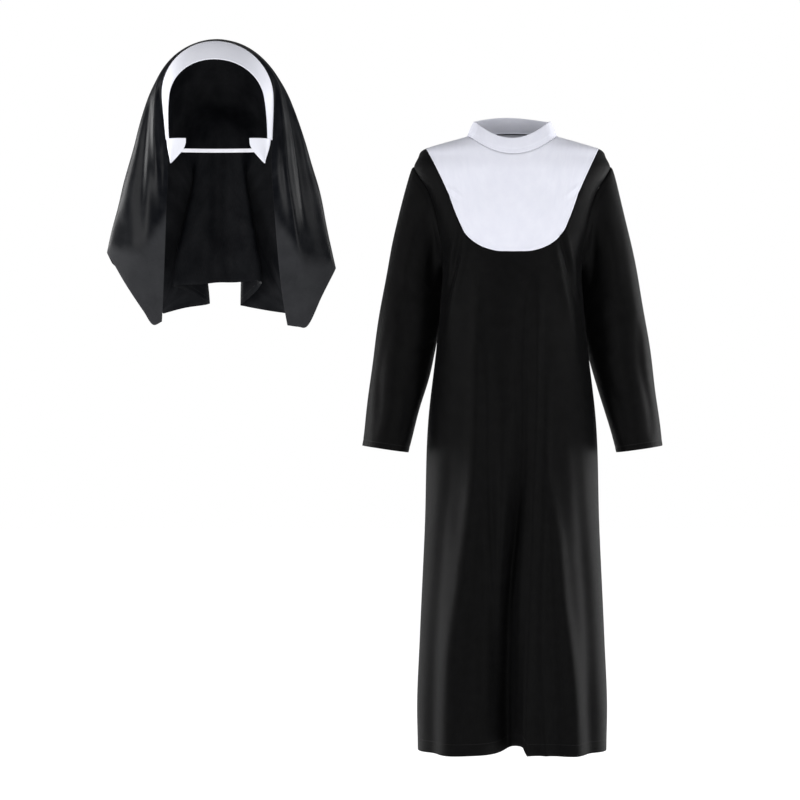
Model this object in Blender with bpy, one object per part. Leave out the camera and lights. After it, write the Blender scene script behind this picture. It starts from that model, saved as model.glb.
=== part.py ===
"""Nun habit: a long knit robe with a white yoke and stand collar, and beside it a satin veil on a white band.

Metres, +Z up, the front facing -Y. The origin is where the wearer's neck and shoulders hold the robe:
on its centre line, level with the side of the collar's seam. Both pieces keep the hollow form they have
when worn. Every cloth piece is a wall cut from a smooth surface and set in a little along its seams.
"""
from collections import namedtuple
from math import asin, cos, pi, sin

import bpy
import numpy as np

# ---- driving dimensions ---------------------------------------------------------------------------
KNIT = 0.0020            # wall of the robe's knit and of the veil's satin
BAND_WALL = 0.0025       # wall of the stiffened face band and its tabs
COLLAR_WALL = 0.0028     # the collar is knit folded double
SEAM = 0.0004            # gap between pieces sewn together

SHOULDER_Z = -0.067      # shoulder point, where the sleeve's top meets the panels
UNDERARM_Z = -0.285      # lowest point of the armhole
HEM_Z = -1.346           # robe hem
ARMHOLE_REACH = 0.22     # how far the armhole runs onto each panel, in quarter turns
SHOULDER_SEAM = 0.975    # shoulder seam, just in front of the ridge, in quarter turns from centre front
YOKE_SIDE = 0.68         # share of the yoke's half edge that faces the armhole, before it turns under the chest
BIB_TOP_Z = -0.026       # where the yoke's curve leaves the shoulder seam

NECK_HALF_WIDTH, NECK_HALF_DEPTH = 0.0985, 0.070
NECK_SIDE_Z = 0.001      # collar seam at the sides, and how it drops at the front and rises behind
NECK_FRONT_DROP = 0.043
NECK_BACK_RISE = 0.011
COLLAR_HEIGHT = 0.033
COLLAR_TAPER = 0.86      # width of the collar's top edge against its seam

VEIL_X = -0.642          # centre line of the veil
VEIL_LEAN = 0.035        # sideways lean of the veil's top, per metre of height
TAB_Z = -0.018           # level where the band ends and its tabs begin

# ---- the robe's body: one row for each level ------------------------------------------------------
Level = namedtuple("Level", "z half_width front back squareness")
BODY = [
    Level(0.016, 0.080, 0.060, 0.058, 2.00),
    Level(0.001, 0.099, 0.064, 0.062, 2.00),
    Level(-0.012, 0.145, 0.068, 0.066, 2.05),
    Level(-0.026, 0.190, 0.074, 0.071, 2.10),
    Level(-0.048, 0.2075, 0.082, 0.078, 2.15),
    Level(-0.069, 0.2160, 0.089, 0.084, 2.20),
    Level(-0.088, 0.2110, 0.093, 0.088, 2.30),
    Level(-0.115, 0.1965, 0.098, 0.093, 2.40),
    Level(-0.152, 0.1835, 0.104, 0.099, 2.50),
    Level(-0.210, 0.170, 0.110, 0.104, 2.60),
    Level(-0.285, 0.1535, 0.114, 0.106, 2.60),
    Level(-0.367, 0.157, 0.114, 0.104, 2.50),
    Level(-0.479, 0.168, 0.112, 0.104, 2.40),
    Level(-0.614, 0.1835, 0.114, 0.107, 2.30),
    Level(-0.858, 0.192, 0.119, 0.112, 2.25),
    Level(-1.100, 0.203, 0.125, 0.118, 2.25),
    Level(-1.260, 0.209, 0.129, 0.122, 2.25),
    Level(-1.346, 0.207, 0.130, 0.123, 2.25),
]

# Folds of the body: each runs from its top to the hem, growing from nothing to its full height.
# Height is out of the panel, so a trough's is negative.
Fold = namedtuple("Fold", "top_x top_z hem_x top_spread hem_spread height")
FRONT_FOLDS = [
    Fold(-0.110, -0.620, -0.176, 0.016, 0.020, -0.007),
    Fold(-0.079, -0.330, -0.139, 0.022, 0.028, 0.013),
    Fold(-0.058, -0.400, -0.082, 0.014, 0.022, -0.013),
    Fold(-0.030, -0.560, -0.046, 0.018, 0.018, 0.012),
    Fold(0.022, -0.420, -0.010, 0.012, 0.019, -0.034),
    Fold(0.050, -0.280, 0.026, 0.014, 0.015, 0.020),
    Fold(0.078, -0.360, 0.072, 0.020, 0.022, 0.010),
    Fold(0.082, -0.640, 0.106, 0.014, 0.018, -0.012),
    Fold(0.084, -0.700, 0.139, 0.018, 0.022, 0.011),
    Fold(0.110, -0.700, 0.176, 0.014, 0.018, -0.006),
]
BACK_FOLDS = [
    Fold(-0.090, -0.420, -0.150, 0.022, 0.026, 0.013),
    Fold(-0.060, -0.380, -0.104, 0.018, 0.022, -0.016),
    Fold(-0.038, -0.300, -0.055, 0.022, 0.024, 0.014),
    Fold(-0.004, -0.520, -0.008, 0.018, 0.020, -0.018),
    Fold(0.034, -0.330, 0.044, 0.020, 0.024, 0.015),
    Fold(0.064, -0.460, 0.092, 0.018, 0.022, -0.015),
    Fold(0.092, -0.400, 0.142, 0.022, 0.026, 0.012),
]

# ---- the yoke's lower edge, from the shoulder seam to centre front -------------------------------
BibEdge = namedtuple("BibEdge", "half_width z")
BIB_EDGE = [
    BibEdge(0.1885, -0.026),
    BibEdge(0.1665, -0.0740),
    BibEdge(0.1435, -0.1245),
    BibEdge(0.1215, -0.1830),
    BibEdge(0.1040, -0.2190),
    BibEdge(0.0770, -0.2420),
    BibEdge(0.0415, -0.2550),
    BibEdge(0.0, -0.2570),
]

# ---- right sleeve: one row for each ring, named by its outer and inner points ---------------------
Ring = namedtuple("Ring", "along outer_x outer_z inner_x inner_z half_depth")
SLEEVE = [
    Ring(0.00, 0.2210, -0.067, 0.1560, -0.285, 0.050),
    Ring(0.12, 0.2410, -0.138, 0.1565, -0.318, 0.056),
    Ring(0.26, 0.2600, -0.222, 0.1595, -0.352, 0.061),
    Ring(0.42, 0.2800, -0.325, 0.1660, -0.410, 0.064),
    Ring(0.60, 0.3000, -0.445, 0.1800, -0.500, 0.065),
    Ring(0.80, 0.3165, -0.570, 0.2020, -0.594, 0.063),
    Ring(1.00, 0.3300, -0.678, 0.2290, -0.693, 0.060),
]
CAP_LENGTH = 0.30        # part of the sleeve over which the armhole's shape passes into the rings
CAP_LIFT = 0.020         # fullness that lifts the sleeve off the panel just past the seam

# ---- the veil: one row for each arch, from its front edge over the crown to its back hem ----------
Arch = namedtuple("Arch", "back_along top_y top_z roundness temple_x temple_y temple_z "
                          "jaw_x jaw_y jaw_z hem_x hem_y hem_z hem_sway")
VEIL = [
    Arch(0.00, -0.050, 0.2055, 0.74, 0.1225, -0.036, 0.085, 0.114, -0.046, -0.090, 0.154, -0.076, -0.412, 0.016),
    Arch(0.07, -0.010, 0.2140, 0.69, 0.1400, -0.022, 0.080, 0.150, -0.042, -0.095, 0.184, -0.062, -0.392, 0.010),
    Arch(0.20, 0.040, 0.2120, 0.64, 0.1580, 0.010, 0.075, 0.206, 0.004, -0.080, 0.251, 0.004, -0.270, 0.003),
    Arch(0.40, 0.100, 0.1480, 0.66, 0.1330, 0.062, 0.030, 0.176, 0.060, -0.120, 0.205, 0.060, -0.320, 0.0),
    Arch(0.60, 0.118, 0.0300, 0.70, 0.1080, 0.098, -0.050, 0.144, 0.096, -0.180, 0.168, 0.094, -0.372, 0.0),
    Arch(0.80, 0.112, -0.1350, 0.70, 0.0780, 0.110, -0.170, 0.106, 0.112, -0.260, 0.136, 0.112, -0.378, 0.0),
    Arch(1.00, 0.100, -0.3250, 0.70, 0.0480, 0.110, -0.345, 0.078, 0.116, -0.365, 0.110, 0.118, -0.376, 0.0),
]
ARCH_KNOTS = (0.0, 0.15, 0.34, 0.60, 1.0)   # top, shoulder of the arch, temple, jaw, hem

Flute = namedtuple("Flute", "across back_along across_spread back_spread height")
VEIL_FLUTES = [
    Flute(-0.10, 1.0, 0.10, 0.42, -0.026),
    Flute(0.12, 1.0, 0.09, 0.42, -0.024),
    Flute(-0.42, 0.95, 0.10, 0.40, 0.016),
    Flute(0.40, 0.95, 0.10, 0.40, 0.018),
    Flute(-0.72, 0.75, 0.10, 0.26, -0.014),
    Flute(0.74, 0.75, 0.10, 0.26, -0.014),
    Flute(-0.90, 0.10, 0.16, 0.07, -0.008),
    Flute(0.88, 0.10, 0.16, 0.07, -0.010),
]

# ---- the band, its tabs and the elastic ----------------------------------------------------------
BAND_END_Z = -0.0100     # level where the band ends, just above its tabs
BAND_TOP_TURN, BAND_SIDE_TURN = 0.0425, 0.0070    # how far the band closes in from its seam to its free edge
BAND_TOP_DEPTH, BAND_SIDE_DEPTH = 0.038, 0.046    # and how far it comes forward
TabRow = namedtuple("TabRow", "z outer_x inner_x rear_y")
TAB = [
    TabRow(-0.0108, 0.1135, 0.0695, -0.050),
    TabRow(-0.0230, 0.1120, 0.0705, -0.056),
    TabRow(-0.0350, 0.1095, 0.0757, -0.066),
    TabRow(-0.0500, 0.1055, 0.0880, -0.078),
    TabRow(-0.0640, 0.1020, 0.1008, -0.088),
]
TAB_FRONT_Y = -0.092
TAB_ROUND = 0.004        # how far the tab's folded corner stands forward of its inner edge
ELASTIC_Z, ELASTIC_WIDTH, ELASTIC_WALL = -0.037, 0.0075, 0.0012

# ---- mesh steps -----------------------------------------------------------------------------------
ARM_STEPS = 10           # along half an armhole
FRONT_STEPS = 28         # across the front panel
BACK_STEPS = 20          # across the back panel
DOWN_STEPS = 10          # from the underarm to the hem
SLEEVE_STEPS = 10        # from the armhole to the cuff
BIB_STEPS = 4            # from the collar to the yoke's edge
CHEST_STEPS = 3          # from the yoke's edge to the underarm
COLLAR_STEPS = 1         # up the collar
BAND_ALONG, BAND_STEPS = 22, 3
VEIL_FREE, VEIL_BACK = 5, 12
TAB_STEPS = 5

BLACK_KNIT = (0.006, 0.006, 0.006, 1.0)
WHITE_KNIT = (0.78, 0.79, 0.86, 1.0)
BLACK_SATIN = (0.007, 0.007, 0.010, 1.0)
WHITE_SATIN = (0.84, 0.84, 0.88, 1.0)


# ---- reading the tables ---------------------------------------------------------------------------
def through(keys, rows, key):
    """The rows' values at a key, on a cubic that passes every row."""
    keys, rows = np.asarray(keys, float), np.asarray(rows, float)
    slopes = np.gradient(rows, keys, axis=0, edge_order=1)
    key = min(max(key, keys[0]), keys[-1])
    i = min(int(np.searchsorted(keys, key, side="right")) - 1, len(keys) - 2)
    step = keys[i + 1] - keys[i]
    t = (key - keys[i]) / step
    return ((1 + 2 * t) * (1 - t) ** 2 * rows[i] + t * (1 - t) ** 2 * step * slopes[i]
            + t * t * (3 - 2 * t) * rows[i + 1] - t * t * (1 - t) * step * slopes[i + 1])


BODY_KEYS = [-row.z for row in BODY]
BODY_ROWS = [row[1:] for row in BODY]


def body_level(z):
    return Level(z, *through(BODY_KEYS, BODY_ROWS, -z))


def bump(distance, spread):
    return float(np.exp(-(distance / spread) ** 2))


def fold_height(folds, x, z):
    """How far the folds push the body's surface out at one place."""
    total = 0.0
    for fold in folds:
        if z < fold.top_z:
            t = (fold.top_z - z) / (fold.top_z - HEM_Z)
            middle = fold.top_x + (fold.hem_x - fold.top_x) * t
            spread = fold.top_spread + (fold.hem_spread - fold.top_spread) * t
            growth = t ** 0.8 * (3 - 2 * min(t * 2, 1)) if t < 0.5 else t ** 0.8
            total += fold.height * growth * bump(x - middle, spread)
    return total


def body(turn, z):
    """A point of the body's cloth. turn counts quarter turns from centre front: 1 is the right side."""
    level = body_level(z)
    s, c = sin(turn * pi / 2), cos(turn * pi / 2)
    n = level.squareness
    depth = (1 - min(abs(s), 1.0) ** n) ** (1 / n)
    front = c >= 0
    reach = level.front if front else level.back
    x, y = level.half_width * s, -reach * depth if front else reach * depth
    out = np.array((x / level.half_width ** 2, y / reach ** 2, 0.0))
    out /= np.linalg.norm(out)
    side_fade = 1 - abs(s) ** 10
    return np.array((x, y, z)) + out * side_fade * fold_height(FRONT_FOLDS if front else BACK_FOLDS, x, z)


def outward(surface, a, b, step_a=0.010, step_b=0.005):
    """The unit normal of a surface at (a, b), from the points round it."""
    across = surface(a + step_a, b) - surface(a - step_a, b)
    down = surface(a, b - step_b) - surface(a, b + step_b)
    normal = np.cross(down, across)
    return normal / np.linalg.norm(normal)


# ---- making a wall of cloth -----------------------------------------------------------------------
class Cloth:
    """Grids of points on one or more surfaces, welded where they share a point, made into one wall."""

    def __init__(self):
        self.index, self.points, self.inward, self.faces = {}, [], [], []

    def corner(self, point, inward):
        key = tuple(np.round(point, 6))
        if key not in self.index:
            self.index[key] = len(self.points)
            self.points.append(np.asarray(point, float))
            self.inward.append(np.asarray(inward, float) / np.linalg.norm(inward))
        return self.index[key]

    def grid(self, rows, closed=False):
        """rows hold (point, inward) pairs; seen from outside, rows run down and columns to the right."""
        numbers = [[self.corner(*pair) for pair in row] for row in rows]
        columns = len(numbers[0])
        for upper, lower in zip(numbers, numbers[1:]):
            for i in range(columns if closed else columns - 1):
                j = (i + 1) % columns
                self.split([lower[i], lower[j], upper[j], upper[i]])

    def split(self, corners):
        """Adds a four-cornered patch as two triangles, cut along its shorter diagonal."""
        a, b, c, d = corners
        short = self.apart(a, c) < self.apart(b, d)
        halves = [(a, b, c), (a, c, d)] if short else [(a, b, d), (b, c, d)]
        self.faces += [half for half in halves if len(set(half)) == 3]

    def apart(self, a, b):
        return float(np.linalg.norm(self.points[a] - self.points[b]))

    def open_edges(self):
        used = {(f[k - 1], f[k]) for f in self.faces for k in range(len(f))}
        return [edge for edge in used if (edge[1], edge[0]) not in used]

    def set_in(self, amount):
        """Moves every open edge into its own piece by that amount, square to the edge."""
        pulls = {}
        for a, b in self.open_edges():
            along = self.points[b] - self.points[a]
            for v in (a, b):
                pull = np.cross(along, self.inward[v])
                pulls.setdefault(v, []).append(pull / np.linalg.norm(pull))
        for v, pair in pulls.items():
            total = sum(pair)
            self.points[v] = self.points[v] + amount * total / max(1 + float(np.dot(*pair)), 0.35)

    def build(self, name, wall, colour, roughness, collection, seam=SEAM):
        self.set_in(seam / 2)
        count = len(self.points)
        inner = [p + d * wall for p, d in zip(self.points, self.inward)]
        rim = [(b, a, a + count, b + count) for a, b in sorted(self.open_edges())]
        lining = [[v + count for v in reversed(face)] for face in self.faces]
        mesh = bpy.data.meshes.new(name)
        mesh.from_pydata([tuple(p) for p in self.points + inner], [], self.faces + lining + rim)
        mesh.update()
        mesh.shade_smooth()
        mesh.set_sharp_from_angle(angle=pi / 4)
        material = bpy.data.materials.new(name)
        material.use_nodes = True
        shader = material.node_tree.nodes["Principled BSDF"]
        shader.inputs["Base Color"].default_value = colour
        shader.inputs["Roughness"].default_value = roughness
        mesh.materials.append(material)
        piece = bpy.data.objects.new(name, mesh)
        collection.objects.link(piece)
        return piece


def on_body(turn, z):
    return body(turn, z), -outward(body, turn, z)


def even(steps):
    return list(np.linspace(0, 1, steps + 1))


def ruled(start, end, shares):
    """Rows at some shares of the way between two curves of (turn, z), read on the body's surface."""
    return [[on_body(a[0] + (b[0] - a[0]) * t, a[1] + (b[1] - a[1]) * t) for a, b in zip(start, end)]
            for t in shares]


# ---- the curves that the panels share, as (turn, z) -----------------------------------------------
def neck(turn):
    """The collar's seam: dropped at the front, raised a little at the back."""
    c = cos(turn * pi / 2)
    z = NECK_SIDE_Z - NECK_FRONT_DROP * c ** 2 if c >= 0 else NECK_SIDE_Z + NECK_BACK_RISE * c ** 2
    level = body_level(z)
    x = NECK_HALF_WIDTH * sin(turn * pi / 2)
    part = asin(min(abs(x) / level.half_width, 1.0)) * 2 / pi
    return np.array((part if c >= 0 else 2 - part, z))


def armhole(angle, back=False):
    """The right armhole: angle 0 is the shoulder point, 180 degrees the underarm."""
    middle, half = (SHOULDER_Z + UNDERARM_Z) / 2, (SHOULDER_Z - UNDERARM_Z) / 2
    reach = ARMHOLE_REACH * sin(angle)
    z = middle + half * cos(angle)
    blend = (1 - SHOULDER_SEAM) * (0.5 + 0.5 * cos(angle)) ** 4
    return (1 + reach if back else 1 - reach) - blend, z


def bib_edge(part):
    """The yoke's edge, from the shoulder seam (0) to centre front (1)."""
    lengths = np.concatenate(([0], np.cumsum([np.hypot(b.half_width - a.half_width, b.z - a.z)
                                              for a, b in zip(BIB_EDGE, BIB_EDGE[1:])])))
    x, z = through(lengths / lengths[-1], BIB_EDGE, part)
    turn = asin(min(x / body_level(z).half_width, 1.0)) * 2 / pi
    return min(turn, SHOULDER_SEAM), z


def mirrored(half):
    """A curve listed from the right edge to the centre, made whole from left to right."""
    left = [(-turn, z) for turn, z in half]
    return left[:-1] + [half[-1]] + list(reversed(half))[1:]


def yoke_parts():
    """Shares of the yoke's half edge, from the shoulder seam: those facing the armhole, then the rest."""
    side = np.linspace(0, YOKE_SIDE, ARM_STEPS + 1)
    low = np.linspace(YOKE_SIDE, 1, FRONT_STEPS // 2 + 1)[1:]
    return list(side) + list(low)


def front_neck():
    """The collar's seam along the yoke, from the shoulder seam to centre front."""
    return [(SHOULDER_SEAM, NECK_SIDE_Z)] + [tuple(neck(1 - part)) for part in yoke_parts()[1:]]


def back_neck():
    """The collar's seam along the back panel, from the shoulder seam to centre back."""
    half = BACK_STEPS // 2
    return [(SHOULDER_SEAM, NECK_SIDE_Z)] + [tuple(neck(1 + k / half)) for k in range(1, half + 1)]


def yoke_curves():
    """Collar seam, yoke edge and underarm line of the front, from left to right, with equal counts."""
    collar = front_neck()
    edge = [bib_edge(part) for part in yoke_parts()]
    under = [armhole(pi * k / ARM_STEPS) for k in range(ARM_STEPS + 1)]
    under += [(1 - (k + 1) / (FRONT_STEPS // 2), UNDERARM_Z) for k in range(FRONT_STEPS // 2)]
    return mirrored(collar), mirrored(edge), mirrored(under)


def down_levels():
    return np.linspace(UNDERARM_Z, HEM_Z, DOWN_STEPS + 1)


def lower_panel(cloth, turns):
    cloth.grid([[on_body(turn, z) for turn in turns] for z in down_levels()])


# ---- the robe's pieces ----------------------------------------------------------------------------
def make_bib(parts):
    """White yoke: from the collar's seam to the curved seam on the chest."""
    collar, edge, _ = yoke_curves()
    cloth = Cloth()
    cloth.grid(ruled(collar, edge, even(BIB_STEPS)))
    cloth.build("bib", KNIT, WHITE_KNIT, 0.75, parts, seam=1.6 * SEAM)


def make_front(parts):
    """Black front panel: round the yoke to the shoulders, and down to the hem."""
    _, edge, under = yoke_curves()
    cloth = Cloth()
    cloth.grid(ruled(edge, under, even(CHEST_STEPS)))
    lower_panel(cloth, [turn for turn, _ in under[ARM_STEPS:-ARM_STEPS]])
    cloth.build("robe_front", KNIT, BLACK_KNIT, 0.85, parts)


def make_back(parts):
    """Black back panel, whole from the collar and the shoulder seams to the hem."""
    half = BACK_STEPS // 2

    def across(edge, z):
        """A level row from the right edge of the panel to its left, as the back is seen."""
        right = [(edge + (2 - edge) * k / half, z) for k in range(half)]
        return right + [(2, z)] + [(4 - turn, level) for turn, level in reversed(right)]

    collar = back_neck()
    collar += [(4 - turn, z) for turn, z in reversed(collar[:-1])]
    arm = [armhole(pi * k / ARM_STEPS, back=True) for k in range(ARM_STEPS + 1)]
    # The shoulder seam's points are those of the yoke's and the front panel's ends.
    yoke_end = (NECK_SIDE_Z - BIB_TOP_Z) / (NECK_SIDE_Z - SHOULDER_Z)
    shares = [yoke_end * t for t in even(BIB_STEPS)]
    shares += [yoke_end + (1 - yoke_end) * t for t in even(CHEST_STEPS)[1:]]
    cloth = Cloth()
    cloth.grid(ruled(collar, across(*arm[0]), shares))
    cloth.grid([[on_body(turn, z) for turn, z in across(*edge)] for edge in arm])
    lower_panel(cloth, [turn for turn, _ in across(1.0, UNDERARM_Z)])
    cloth.build("robe_back", KNIT, BLACK_KNIT, 0.85, parts)


def sleeve_point(angle, along):
    """A point of the right sleeve: angle 0 is its outer line, 90 degrees its front."""
    row = Ring(along, *through([r.along for r in SLEEVE], [r[1:] for r in SLEEVE], along))
    outer = np.array((row.outer_x, 0.0, row.outer_z))
    inner = np.array((row.inner_x, 0.0, row.inner_z))
    point = (outer + inner) / 2 + (outer - inner) / 2 * cos(angle)
    point[1] = -row.half_depth * sin(angle)
    if along < CAP_LENGTH:
        t = along / CAP_LENGTH
        blend = t * t * (3 - 2 * t)
        turned = angle % (2 * pi)
        back = turned > pi
        turn, z = armhole(2 * pi - turned if back else turned, back)
        seam = body(turn, z) + (SEAM * 1.6 + CAP_LIFT * t * (1 - t)) * outward(body, turn, z)
        point = seam * (1 - blend) + point * blend
    return point


def make_sleeve(name, side, parts):
    """Black set-in sleeve: from the armhole's seam to an open cuff."""
    cloth = Cloth()
    rows = []
    for k in range(SLEEVE_STEPS + 1):
        along = k / SLEEVE_STEPS
        row = []
        for i in range(2 * ARM_STEPS):
            angle = -pi * i / ARM_STEPS * side
            point = sleeve_point(angle, along)
            across = sleeve_point(angle + 0.02, along) - sleeve_point(angle - 0.02, along)
            down = sleeve_point(angle, min(along + 0.01, 1)) - sleeve_point(angle, max(along - 0.01, 0))
            out = np.cross(across, down)
            out /= np.linalg.norm(out)
            if along < CAP_LENGTH:
                turned = angle % (2 * pi)
                back = turned > pi
                turn, z = armhole(2 * pi - turned if back else turned, back)
                share = (0.5 + 0.5 * cos(angle)) * (1 - along / CAP_LENGTH)
                out = out * (1 - share) + outward(body, turn, z) * share
            flip = np.array((side, 1, 1))
            row.append((point * flip, -out * flip))
        rows.append(row)
    cloth.grid(rows, closed=True)
    cloth.build(name, KNIT, BLACK_KNIT, 0.85, parts)


def make_collar(parts):
    """White stand collar: a doubled band that leans in above the neck's seam."""
    right = list(reversed(front_neck())) + back_neck()[1:]
    left = [(-turn, z) for turn, z in reversed(right[1:-1])]
    base = [body(turn, z) for turn, z in right + left]
    rows = []
    for k in range(COLLAR_STEPS + 1):
        t = 1 - k / COLLAR_STEPS
        shrink = 1 - (1 - COLLAR_TAPER) * t ** 1.5
        row = []
        for p in base:
            point = np.array((p[0] * shrink, p[1] * shrink, p[2] + COLLAR_HEIGHT * t))
            inward = np.array((-p[0] / NECK_HALF_WIDTH, -p[1] / NECK_HALF_DEPTH, -0.15))
            row.append((point, inward))
        rows.append(row)
    cloth = Cloth()
    cloth.grid(rows, closed=True)
    cloth.build("collar", COLLAR_WALL, WHITE_KNIT, 0.7, parts)


# ---- the veil's pieces ----------------------------------------------------------------------------
def veil_arch(across, back):
    """A point of the veil without its flutes. across runs from the left hem (-1) over the top to the right."""
    row = Arch(back, *through([a.back_along for a in VEIL], [a[1:] for a in VEIL], back))
    round_x = row.roundness * row.temple_x
    round_z = row.temple_z + row.roundness * (row.top_z - row.temple_z)
    round_y = row.top_y + 0.4 * (row.temple_y - row.top_y)
    knots = [(0.0, row.top_y, row.top_z), (round_x, round_y, round_z),
             (row.temple_x, row.temple_y, row.temple_z), (row.jaw_x, row.jaw_y, row.jaw_z),
             (row.hem_x, row.hem_y, row.hem_z)]
    before = [(-x, y, z) for x, y, z in reversed(knots[1:])]
    keys = [-k for k in reversed(ARCH_KNOTS[1:])] + list(ARCH_KNOTS)
    point = through(keys, before + knots, across)
    point[0] += VEIL_X - VEIL_LEAN * max(point[2] - TAB_Z, 0.0) + row.hem_sway * across ** 4
    return point


def veil(across, back):
    point = veil_arch(across, back)
    height = sum(f.height * bump(across - f.across, f.across_spread) * bump(back - f.back_along, f.back_spread)
                 for f in VEIL_FLUTES)
    return point + height * min(back / 0.1, 1.0) * veil_out(across, back)


def veil_out(across, back):
    a, b = 0.01, 0.01
    side = veil_arch(min(across + a, 1), back) - veil_arch(max(across - a, -1), back)
    down = veil_arch(across, min(back + b, 1)) - veil_arch(across, max(back - b, 0))
    out = np.cross(side, down)
    return out / np.linalg.norm(out)


def band_reach():
    """How far down the veil's front edge the band goes, in the veil's own measure."""
    near, far = ARCH_KNOTS[2], ARCH_KNOTS[3]
    for _ in range(30):
        middle = (near + far) / 2
        above = veil_arch(middle, 0.0)[2] > BAND_END_Z
        near, far = (middle, far) if above else (near, middle)
    return near


BAND_REACH = band_reach()


def band_back_edge(part):
    """The band's seam with the veil: part runs from the left tab (-1) over the forehead to the right."""
    return veil_arch(part * BAND_REACH, 0.0)


def band(part, width):
    """A point of the band. width runs from its seam with the veil (0) to its free front edge (1)."""
    seam = band_back_edge(part)
    rise = (max(seam[2] - TAB_Z, 0.0) / (0.2055 - TAB_Z)) ** 1.5
    middle_x = VEIL_X - VEIL_LEAN * max(seam[2] - TAB_Z, 0.0)
    out = np.array((seam[0] - middle_x, 0.0, max(seam[2] - 0.085, 0.0)))
    out /= np.linalg.norm(out)
    narrowing = BAND_SIDE_TURN + (BAND_TOP_TURN - BAND_SIDE_TURN) * rise
    forward = BAND_SIDE_DEPTH + (BAND_TOP_DEPTH - BAND_SIDE_DEPTH) * rise
    bulge = 0.003 * sin(pi * width)
    return seam - out * (narrowing * width - bulge) + np.array((0.0, -forward * width, 0.0))


def make_band(parts):
    """White stiffened face band: over the forehead and down both sides of the face."""
    cloth = Cloth()
    rows = []
    for k in range(BAND_STEPS + 1):
        width = k / BAND_STEPS
        row = []
        for i in range(BAND_ALONG + 1):
            part = -1 + 2 * i / BAND_ALONG
            along = band(min(part + 0.01, 1), width) - band(max(part - 0.01, -1), width)
            forward = band(part, min(width + 0.02, 1)) - band(part, max(width - 0.02, 0))
            inward = np.cross(along, forward)
            inward /= np.linalg.norm(inward)
            share = max(1 - 1.5 * width, 0.0)
            row.append((band(part, width), inward * (1 - share) - veil_out(part * BAND_REACH, 0.0) * share))
        rows.append(row)
    cloth.grid([list(reversed(row)) for row in reversed(rows)])
    cloth.build("head_band", BAND_WALL, WHITE_SATIN, 0.35, parts)


def tab(turned, down):
    """A point of the right tab. turned runs from its rear edge (0) round to its inner edge (1)."""
    row = TabRow(down, *through([-r.z for r in TAB], [r[1:] for r in TAB], -down))
    rear = np.array((row.outer_x, row.rear_y, down))
    corner = np.array((row.outer_x + 0.75 * TAB_ROUND, TAB_FRONT_Y - TAB_ROUND, down))
    inner = np.array((row.inner_x, TAB_FRONT_Y, down))
    return (1 - turned) ** 2 * rear + 2 * turned * (1 - turned) * corner + turned ** 2 * inner


def make_tab(name, side, parts):
    """Pointed end of the band, turned in under the jaw."""
    flip = np.array((side, 1, 1))
    shift = np.array((VEIL_X, 0, 0))
    cloth = Cloth()
    rows = []
    for k in range(TAB_STEPS + 1):
        z = TAB[0].z + (TAB[-1].z - TAB[0].z) * k / TAB_STEPS
        row = []
        for i in range(TAB_STEPS + 1):
            u = i / TAB_STEPS
            along = tab(min(u + 0.02, 1), TAB[0].z) - tab(max(u - 0.02, 0), TAB[0].z)
            inward = np.cross(along, (0, 0, 1))
            row.append((tab(u, z) * flip + shift, inward * flip))
        rows.append(row if side < 0 else list(reversed(row)))
    cloth.grid(rows)
    cloth.build(name, BAND_WALL, WHITE_SATIN, 0.35, parts)


def make_elastic(parts):
    """White flat elastic, stretched between the inner edges of the two tabs."""
    cloth = Cloth()
    rows = []
    for k in range(3):
        z = ELASTIC_Z + ELASTIC_WIDTH * (0.5 - k / 2)
        end = tab(1.0, z)
        rows.append([(np.array((VEIL_X + end[0] * (i - 2) / 2, end[1], z)), (0, 1, 0)) for i in range(5)])
    cloth.grid(rows)
    cloth.build("neck_elastic", ELASTIC_WALL, WHITE_KNIT, 0.7, parts)


def veil_columns():
    """Places across the veil: even along the band, and even along each free front edge."""
    free = list(np.linspace(BAND_REACH, 1, VEIL_FREE + 1)[1:])
    return [-a for a in reversed(free)] + list(np.linspace(-BAND_REACH, BAND_REACH, BAND_ALONG + 1)) + free


def make_veil(parts):
    """Black veil: from the band's edge and the two free front edges back over the crown to the hem."""
    cloth = Cloth()
    rows = []
    for k in range(VEIL_BACK + 1):
        back = (k / VEIL_BACK) ** 1.25
        rows.append([(veil(across, back), -veil_out(across, back)) for across in veil_columns()])
    cloth.grid([list(reversed(row)) for row in rows])
    cloth.build("veil", KNIT, BLACK_SATIN, 0.4, parts)


def main():
    for old in list(bpy.data.objects):
        bpy.data.objects.remove(old, do_unlink=True)
    parts = bpy.data.collections.new("nun_habit")
    bpy.context.scene.collection.children.link(parts)
    make_bib(parts)
    make_front(parts)
    make_back(parts)
    make_collar(parts)
    make_sleeve("sleeve_left", -1, parts)
    make_sleeve("sleeve_right", 1, parts)
    make_veil(parts)
    make_band(parts)
    make_tab("band_tab_left", -1, parts)
    make_tab("band_tab_right", 1, parts)
    make_elastic(parts)


main()
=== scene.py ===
"""Nun habit: a long black knit robe with a white yoke and collar, and a black satin veil on a white band.

Metres, +Z up, the front facing -Y. Left and right are as the set is seen from the front.
Every cloth piece is a thin wall of cloth on the form of its solid, with its own creases, seams and hems.
"""
from collections import namedtuple
from math import pi

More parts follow.
